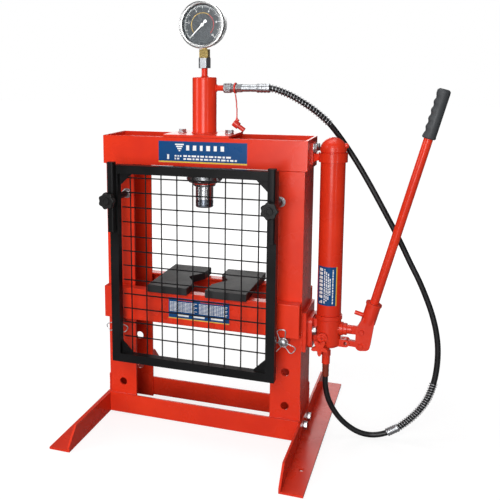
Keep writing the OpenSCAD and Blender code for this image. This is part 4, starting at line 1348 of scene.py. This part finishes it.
def make_grip():
    """A moulded grip with finger hollows on the side that the hand closes on."""
    start, end, around = 0.502, 0.612, 48
    steps = 110
    bm = bmesh.new()
    rings = []
    for k in range(steps + 1):
        s = k / steps
        along = start + (end - start) * s
        hollow = 0.5 - 0.5 * math.cos(2 * math.pi * 5 * min(max((s - 0.06) / 0.84, 0.0),
                                                          1.0))
        ends = min(1.0, s / 0.012) ** 0.5 * 0.0012
        close = max(0.0, (s - 0.94) / 0.06)
        base = 0.0130 + ends - 0.0046 * close ** 3
        collar = 0.0007 * max(0.0, 1.0 - abs(s - 0.03) / 0.03)
        ring = []
        for m in range(around):
            t = 2 * math.pi * m / around
            fingers = max(0.0, -math.cos(t)) ** 0.8
            rib = 0.00018 * math.cos(24 * t) * (1.0 if 0.08 < s < 0.92 else 0.0)
            r = base + collar - 0.0024 * fingers * hollow + rib * (1.0 - fingers)
            ring.append(bm.verts.new(HANDLE_FOOT + UP_HANDLE * along + r * (
                math.cos(t) * OFF_HANDLE + math.sin(t) * Vector((0, 1, 0)))))
        rings.append(ring)
    for low, high in zip(rings, rings[1:]):
        skin(bm, low, high)
    bm.faces.new(list(reversed(rings[0])))
    bm.faces.new(rings[-1])
    grip = joined("handle_grip_moulding", bm, [GRIP_RUBBER], 50.0)
    settle(grip, "handle", "grip_rubber", "handle_grip")


def make_handle():
    """Socket, bar, grip, lock screw and the two clevis pins."""
    dress("handle_socket", CAST_PAINT, 0.0018, 3)
    bar = turned("handle_rod", [(0.0, 0.0622), (0.0096, 0.0622), (0.0100, 0.0628),
                                (0.0100, 0.6000), (0.0, 0.6002)], HANDLE_FOOT,
                 HANDLE_AXES, [PAINT], 56)
    settle(bar, "handle", "red_paint", "handle_bar")
    make_grip()
    dress("socket_lock_screw", PAINT, 0.0005, 2)
    bm = bmesh.new()
    for centre in (HANDLE_FOOT, PLUNGER_PIN):
        turned("", [(0.0, -0.0172), (0.0050, -0.0172), (0.0060, -0.0164),
                    (0.0060, -0.0131), (0.0040, -0.0130), (0.0040, 0.0131),
                    (0.0060, 0.0132), (0.0060, 0.0146), (0.0054, 0.0154),
                    (0.0, 0.0154)], centre, "y", [], 36, bm=bm)
    pins = joined("clevis_pin_pair", bm, [CAST_PAINT])
    settle(pins, "handle", "red_paint", "clevis_pins")


# ---------------------------------------------------------------- bed

def make_plate(side):
    """An arbor plate: a top painted lighter, standing in for light from above, over black cut
    edges.
    """
    node = side + "_arbor_plate"
    piece = merged_copy(node, node + "_cut", [PLATE_SIDE, LIT_PLATE_TOP])
    softened(piece, 0.0013, 3)
    # Faces that look up take the lighter top colour: painted light from above.
    for face in piece.data.polygons:
        face.material_index = 1 if face.normal.z > 0.8 else 0
    settle(piece, side + "_plate", "plate_black", node)


def make_pin(side):
    """A bed pin with its sprung wire clip of three rounded loops."""
    node = side + "_bed_pin"
    sign = -1 if side == "left" else 1
    x, z = sign * PIN_X, PIN_Z
    front, back = -0.0955, 0.0720
    pin = turned(node + "_bar", [
        (0.0, front), (0.0050, front + 0.0003), (0.0078, front + 0.0018),
        (0.0092, front + 0.0042), (0.0095, front + 0.0062), (0.0095, back - 0.0015),
        (0.0080, back), (0.0, back)], (x, 0, z), "y", [ZINC], 56)
    settle(pin, side + "_pin", "zinc", node)
    y = front + 0.0068
    bm = bmesh.new()
    for angle in (100.0, 215.0, -35.0):
        t = math.radians(angle)
        out = Vector((sign * math.cos(t), 0, math.sin(t)))
        cross = Vector((-out.z, 0, out.x))
        loop = [(0.0075, -0.0052), (0.0180, -0.0078), (0.0260, -0.0096),
                (0.0300, -0.0066), (0.0312, 0.0), (0.0300, 0.0066), (0.0260, 0.0096),
                (0.0180, 0.0078), (0.0075, 0.0052)]
        line = spline([Vector((x, y - 0.0004 * k, z)) + out * u + cross * v
                       for k, (u, v) in enumerate(loop)], 5)
        swept("", line, 0.00125, [], sides=10, bm=bm)
    hoop = [Vector((x, y + 0.0002, z)) + 0.0104 * Vector((math.cos(t), 0, math.sin(t)))
            for t in (2 * math.pi * k / 40 for k in range(40))]
    swept("", hoop, 0.00125, [], sides=10, closed=True, bm=bm)
    clip = joined(node + "_clip", bm, [SPRING_STEEL], 60.0)
    settle(clip, side + "_pin", "zinc", node)


def make_bed():
    for node in ("bed_front_channel", "bed_rear_channel"):
        dress(node, PAINT, 0.0020, 4)
    for side in ("left", "right"):
        make_plate(side)
        make_pin(side)


# ---------------------------------------------------------------- guard

def rounded_bar(bm, x, half, y0, y1, z0, z1, radius):
    """An upright flat bar whose front corners are rounded over."""
    steps = 6
    outline = [(-half, y1), (half, y1)]
    outline += [(half - radius + radius * math.cos(t), y0 + radius - radius * math.sin(t))
                for t in (math.pi / 2 * k / steps for k in range(steps + 1))]
    outline += [(-half + radius - radius * math.sin(t), y0 + radius - radius * math.cos(t))
                for t in (math.pi / 2 * k / steps for k in range(steps + 1))]
    low = [bm.verts.new((x + u, v, z0)) for u, v in outline]
    high = [bm.verts.new((x + u, v, z1)) for u, v in outline]
    bm.faces.new(low)
    bm.faces.new(list(reversed(high)))
    skin(bm, low, high)


def make_knob(side):
    """A star knob with its round hub."""
    node = side + "_knob"
    low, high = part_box(node)
    x, z = (low[0] + high[0]) / 2, STUD_Z
    front = low[1]

    def lobes(t):
        return 0.0186 + 0.0014 * math.cos(7 * t)

    def place(u, v, d):
        return Vector((x + u, front + 0.0028 + d, z + v))

    head = star(lobes, 168, 0.0138, place, node + "_head", KNOB_PLASTIC, 0.0026)
    settle(head, node, "knob_plastic", node)
    hub = turned(node + "_hub", [
        (0.0, front + 0.0008), (0.0052, front + 0.0008), (0.0060, front),
        (0.0082, front), (0.0092, front + 0.0010), (0.0096, front + 0.0034),
        (0.0096, high[1] - 0.0012), (0.0088, high[1]), (0.0, high[1])], (x, 0, z), "y",
        [KNOB_PLASTIC], 48)
    settle(hub, node, "knob_plastic", node)


def make_guard():
    """Frame, wire panel, front bars, spacers, studs, nuts and knobs."""
    dress("guard_frame", BLACK_COAT, 0.0016, 3)
    low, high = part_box("guard_mesh")
    panel = grow("guard_wire_panel", WIRE_PANEL, seed_points([((0, 0, 0), (0, 0, 0))]),
                 Uprights=9, Upright_Pitch=0.0387, Levels=12, Level_Pitch=0.0355,
                 Half_Width=high[0], Bottom=low[2], Top=high[2], First_Level=0.231,
                 Front=low[1] + 0.0016, Wire_Radius=0.0016, Material=BLACK_COAT)
    settle(panel, "guard", "black_powder", "guard_mesh")
    bars = bmesh.new()
    spacers = bmesh.new()
    studs = bmesh.new()
    nuts = bolt_part("stud_nut", 19.0, 8.0, washer=12.0)
    places = []
    for x in (-STUD_X, STUD_X):
        rounded_bar(bars, x, 0.0085, -0.1574, -0.1414, 0.4975, 0.6600, 0.0045)
        for z in (0.6590, 0.4970):
            rounded_bar(bars, x, 0.0089, -0.1580, -0.1413, z, z + 0.0030, 0.0050)
        turned("", [(0.0, -0.1206), (0.0069, -0.1206), (0.0075, -0.1198),
                    (0.0075, -0.0712), (0.0069, -0.0704), (0.0, -0.0704)], (x, 0, STUD_Z),
               "y", [], 40, bm=spacers)
        turned("", [(0.0, -0.1760), (0.0044, -0.1760), (0.0050, -0.1752),
                    (0.0050, -0.0466), (0.0044, -0.0460), (0.0, -0.0460)], (x, 0, STUD_Z),
               "y", [], 32, bm=studs)
        places.append(((x, -0.0614, STUD_Z), FRONT))
    bar_piece = joined("guard_front_bars", bars, [BLACK_COAT])
    softened(bar_piece, 0.0006, 2)
    settle(bar_piece, "frame", "black_powder", "guard_mounts")
    settle(joined("guard_spacers", spacers, [BLACK_COAT]), "frame", "black_powder",
           "guard_mounts")
    settle(joined("guard_studs", studs, [ZINC]), "frame", "zinc", "guard_mounts")
    nut_piece = grow("guard_stud_nuts", COPIES, seed_points(places), Part=nuts, Scale=1.0,
                     Material=ZINC)
    settle(nut_piece, "frame", "zinc", "guard_mounts")
    thread = [[(x, y, STUD_Z) for y in (-0.0706, -0.0690)] for x in (-STUD_X, STUD_X)]
    rings = grow("guard_stud_threads", COIL, seed_path(thread), Turns=2.0,
                 Coil_Radius=0.0052, Wire_Radius=0.0004, Steps=24, Material=ZINC)
    settle(rings, "frame", "zinc", "guard_mounts")
    remove(nuts)
    for side in ("left", "right"):
        make_knob(side)


# ---------------------------------------------------------------- labels

class Label:
    """A thin sticker on a face that looks towards -Y, printed with plain shapes."""

    def __init__(self, face_y):
        self.bm = bmesh.new()
        self.face_y = face_y

    def patch(self, x0, z0, x1, z1, ink, layer=1):
        """A rectangle of one ink; a higher layer stands prouder of the face."""
        back = self.face_y + 0.00003
        front = self.face_y - 0.00016 - 0.00007 * layer
        slab(self.bm, (x0, front, z0), (x1, back, z1), ink)

    def words(self, x0, x1, z, height, ink, pattern):
        """A run of dashes that stands for a line of print."""
        x = x0
        k = 0
        while x < x1 - height:
            length = height * pattern[k % len(pattern)]
            self.patch(x, z, min(x + length, x1), z + height, ink, 2)
            x += length + height * 0.75
            k += 1

    def done(self, name):
        """The sticker as a piece."""
        return joined(name, self.bm, INKS)


def make_beam_label():
    """The head beam's sticker: a triangle of bars and lines of plain dashes."""
    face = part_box("head_beam")[0][1]
    label = Label(face)
    x0, x1, z0, z1 = -0.1045, 0.1120, 0.6530, 0.7055
    label.patch(x0, z0, x1, z1, GROUND)
    label.patch(x0, z0, x1, z0 + 0.0018, CRIMSON, 2)
    label.patch(x0, z0 + 0.0018, x1, z0 + 0.0052, YELLOW, 2)
    for step in range(4):
        reach = 0.0020 + 0.0030 * step
        z = 0.6820 + 0.0048 * step
        label.patch(-0.0520 - reach, z, -0.0520 + reach, z + 0.0032, WHITE, 2)
    label.words(-0.0350, 0.0640, 0.6845, 0.0120, WHITE, (0.62, 0.70, 0.55, 0.75))
    label.words(-0.0830, -0.0680, 0.6625, 0.0115, WHITE, (0.45, 0.62))
    label.words(-0.0640, -0.0470, 0.6690, 0.0036, WHITE, (1.3, 0.9))
    label.words(-0.0640, -0.0470, 0.6625, 0.0036, WHITE, (0.9, 1.5))
    label.words(-0.0420, 0.0800, 0.6690, 0.0040, WHITE, (2.2, 1.4, 2.8, 1.1))
    label.words(-0.0420, 0.0880, 0.6620, 0.0040, WHITE, (1.6, 2.6, 1.2, 2.0))
    settle(label.done("beam_label"), "frame", "red_paint")


def make_bed_label():
    """The bed's sticker: two columns of small print as dashes, and three blocks."""
    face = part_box("bed_front_channel")[0][1]
    label = Label(face)
    x0, x1, z0, z1 = -0.0730, 0.0790, 0.2770, 0.3300
    label.patch(x0, z0, x1, z1, GROUND)
    label.patch(x0, z0, x1, z0 + 0.0012, CRIMSON, 2)
    label.patch(x0, z0 + 0.0012, x1, z0 + 0.0034, YELLOW, 2)
    for left, right, head in ((x0 + 0.003, -0.0010, -0.0500), (0.0040, x1 - 0.003, 0.0080)):
        label.words(head, right - 0.012, 0.3235, 0.0022, CRIMSON, (2.4, 1.6, 3.0))
        for line in range(8):
            z = 0.3185 - line * 0.0032
            label.words(left, right - 0.004 * (line % 3), z, 0.0015, WHITE,
                        (3.4, 2.0, 4.4, 2.6, 1.6))
    for bx in (-0.052, -0.012, 0.034):
        label.patch(bx, 0.2850, bx + 0.030, 0.2895, WHITE, 2)
    settle(label.done("bed_label"), "bed", "red_paint")


def make_pump_label():
    """A sticker that wraps round the front of the reservoir, its print on end."""
    low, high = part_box("reservoir_tube")
    x = (low[0] + high[0]) / 2
    r = (high[0] - low[0]) / 2
    z0, z1 = 0.3300, 0.4225
    bm = bmesh.new()

    def patch(a0, z_low, a1, z_high, ink, layer):
        """A curved patch between two angles in degrees, 0 facing -Y."""
        steps = max(2, int(abs(a1 - a0) / 4))
        inner, outer = r - 0.00003, r + 0.00014 + 0.00007 * layer
        rows = []
        for k in range(steps + 1):
            t = math.radians(a0 + (a1 - a0) * k / steps)
            rows.append([bm.verts.new((x + q * math.sin(t), -q * math.cos(t), z))
                         for q in (inner, outer) for z in (z_low, z_high)])
        for a, b in zip(rows, rows[1:]):
            for i, j in ((0, 1), (1, 3), (3, 2), (2, 0)):
                bm.faces.new((a[i], a[j], b[j], b[i])).material_index = ink
        for row in (rows[0], rows[-1]):
            bm.faces.new((row[0], row[1], row[3], row[2])).material_index = ink

    patch(-58, z0, 43, z1, GROUND, 1)
    patch(38, z0, 43, z1, YELLOW, 2)
    for k in range(8):
        z = z0 + 0.0170 + k * 0.0092
        patch(-46, z, -26, z + 0.0064, WHITE, 2)
    for k in range(3):
        patch(-46 + 7 * k, z0 + 0.0045, -41 + 7 * k, z0 + 0.0080 + 0.0018 * k, WHITE, 2)
    for column, (a, first, last) in enumerate(((-19, 0.005, 0.087), (-10, 0.011, 0.081),
                                               (-1, 0.015, 0.077), (7, 0.026, 0.066),
                                               (20, 0.005, 0.086))):
        z = z0 + first
        k = column
        while z < z0 + last:
            length = (0.0062, 0.0040, 0.0076, 0.0032)[k % 4]
            patch(a, z, a + 5, min(z + length, z0 + last), WHITE, 2)
            z += length + 0.0018
            k += 1
    settle(joined("pump_label", bm, INKS, 20.0), "frame", "red_paint")


# ---------------------------------------------------------------- studio

def studio_floor():
    """A pale floor that the camera sees fade to white with distance."""
    made = Finish("studio_floor", Roughness=0.6, Specular_IOR_Level=0.2,
                  Base_Color=(0.28, 0.28, 0.28, 1.0))
    kit = made.kit
    rays = kit.add("ShaderNodeLightPath")
    place = kit.add("ShaderNodeTexCoord").outputs["Object"]
    away = kit.add("ShaderNodeVectorMath", {0: place}, operation="LENGTH")
    glow = kit.add("ShaderNodeEmission", {
        "Color": (1.0, 1.0, 1.0, 1.0),
        "Strength": kit.remap(away.outputs["Value"], 0.6, 1.8, 0.80, 1.0)})
    lifted = kit.add("ShaderNodeAddShader")
    kit.feed(lifted, 0, made.shader.outputs[0])
    kit.feed(lifted, 1, glow.outputs[0])
    both = kit.add("ShaderNodeMixShader", {"Fac": rays.outputs["Is Camera Ray"]})
    kit.feed(both, 1, made.shader.outputs[0])
    kit.feed(both, 2, lifted.outputs[0])
    kit.feed(made.material.node_tree.nodes["Material Output"], "Surface",
             both.outputs[0])
    mesh = bpy.data.meshes.new("studio_floor")
    reach = 14.0
    mesh.from_pydata([(x * reach, y * reach, -0.0004)
                      for x, y in ((-1, -1), (1, -1), (1, 1), (-1, 1))],
                     [], [(0, 1, 2, 3)])
    link("studio_floor", mesh, [made.material])


def soft_light(name, place, target, size, power):
    """A rectangular area light at a place, turned to a target."""
    data = bpy.data.lights.new(name, "AREA")
    data.shape = "RECTANGLE"
    data.size, data.size_y = size
    data.energy = power
    light = bpy.data.objects.new(name, data)
    bpy.context.scene.collection.objects.link(light)
    light.location = place
    aim = Vector(target) - Vector(place)
    light.rotation_euler = aim.to_track_quat("-Z", "Y").to_euler()


def make_studio():
    """Floor, white surroundings and five soft lights."""
    studio_floor()
    world = bpy.data.worlds.new("studio")
    bpy.context.scene.world = world
    world.use_nodes = True
    background = world.node_tree.nodes["Background"]
    background.inputs["Color"].default_value = (1.0, 1.0, 1.0, 1.0)
    kit = Tree(world.node_tree)
    rays = kit.add("ShaderNodeLightPath")
    kit.feed(background, "Strength",
             kit.remap(rays.outputs["Is Camera Ray"], 0.0, 1.0, 0.08, 1.0))
    middle = (0.05, 0.0, 0.5)
    soft_light("front_softbox", (0.2, -2.7, 1.15), middle, (1.0, 2.1), 64)
    soft_light("left_softbox", (-2.0, -1.2, 1.05), middle, (0.4, 2.0), 22)
    soft_light("top_softbox", (0.0, 0.1, 2.5), middle, (1.6, 1.2), 21)
    soft_light("back_softbox", (-0.5, 2.4, 1.3), middle, (1.4, 1.6), 16)
    soft_light("right_strip", (1.9, -1.9, 1.05), middle, (0.14, 2.0), 7)


make_frame()
make_ram()
make_gauge()
make_coupler()
make_pump()
make_handle()
make_bed()
make_guard()
make_beam_label()
make_bed_label()
make_pump_label()
make_studio()
bpy.context.scene.view_settings.view_transform = "Standard"
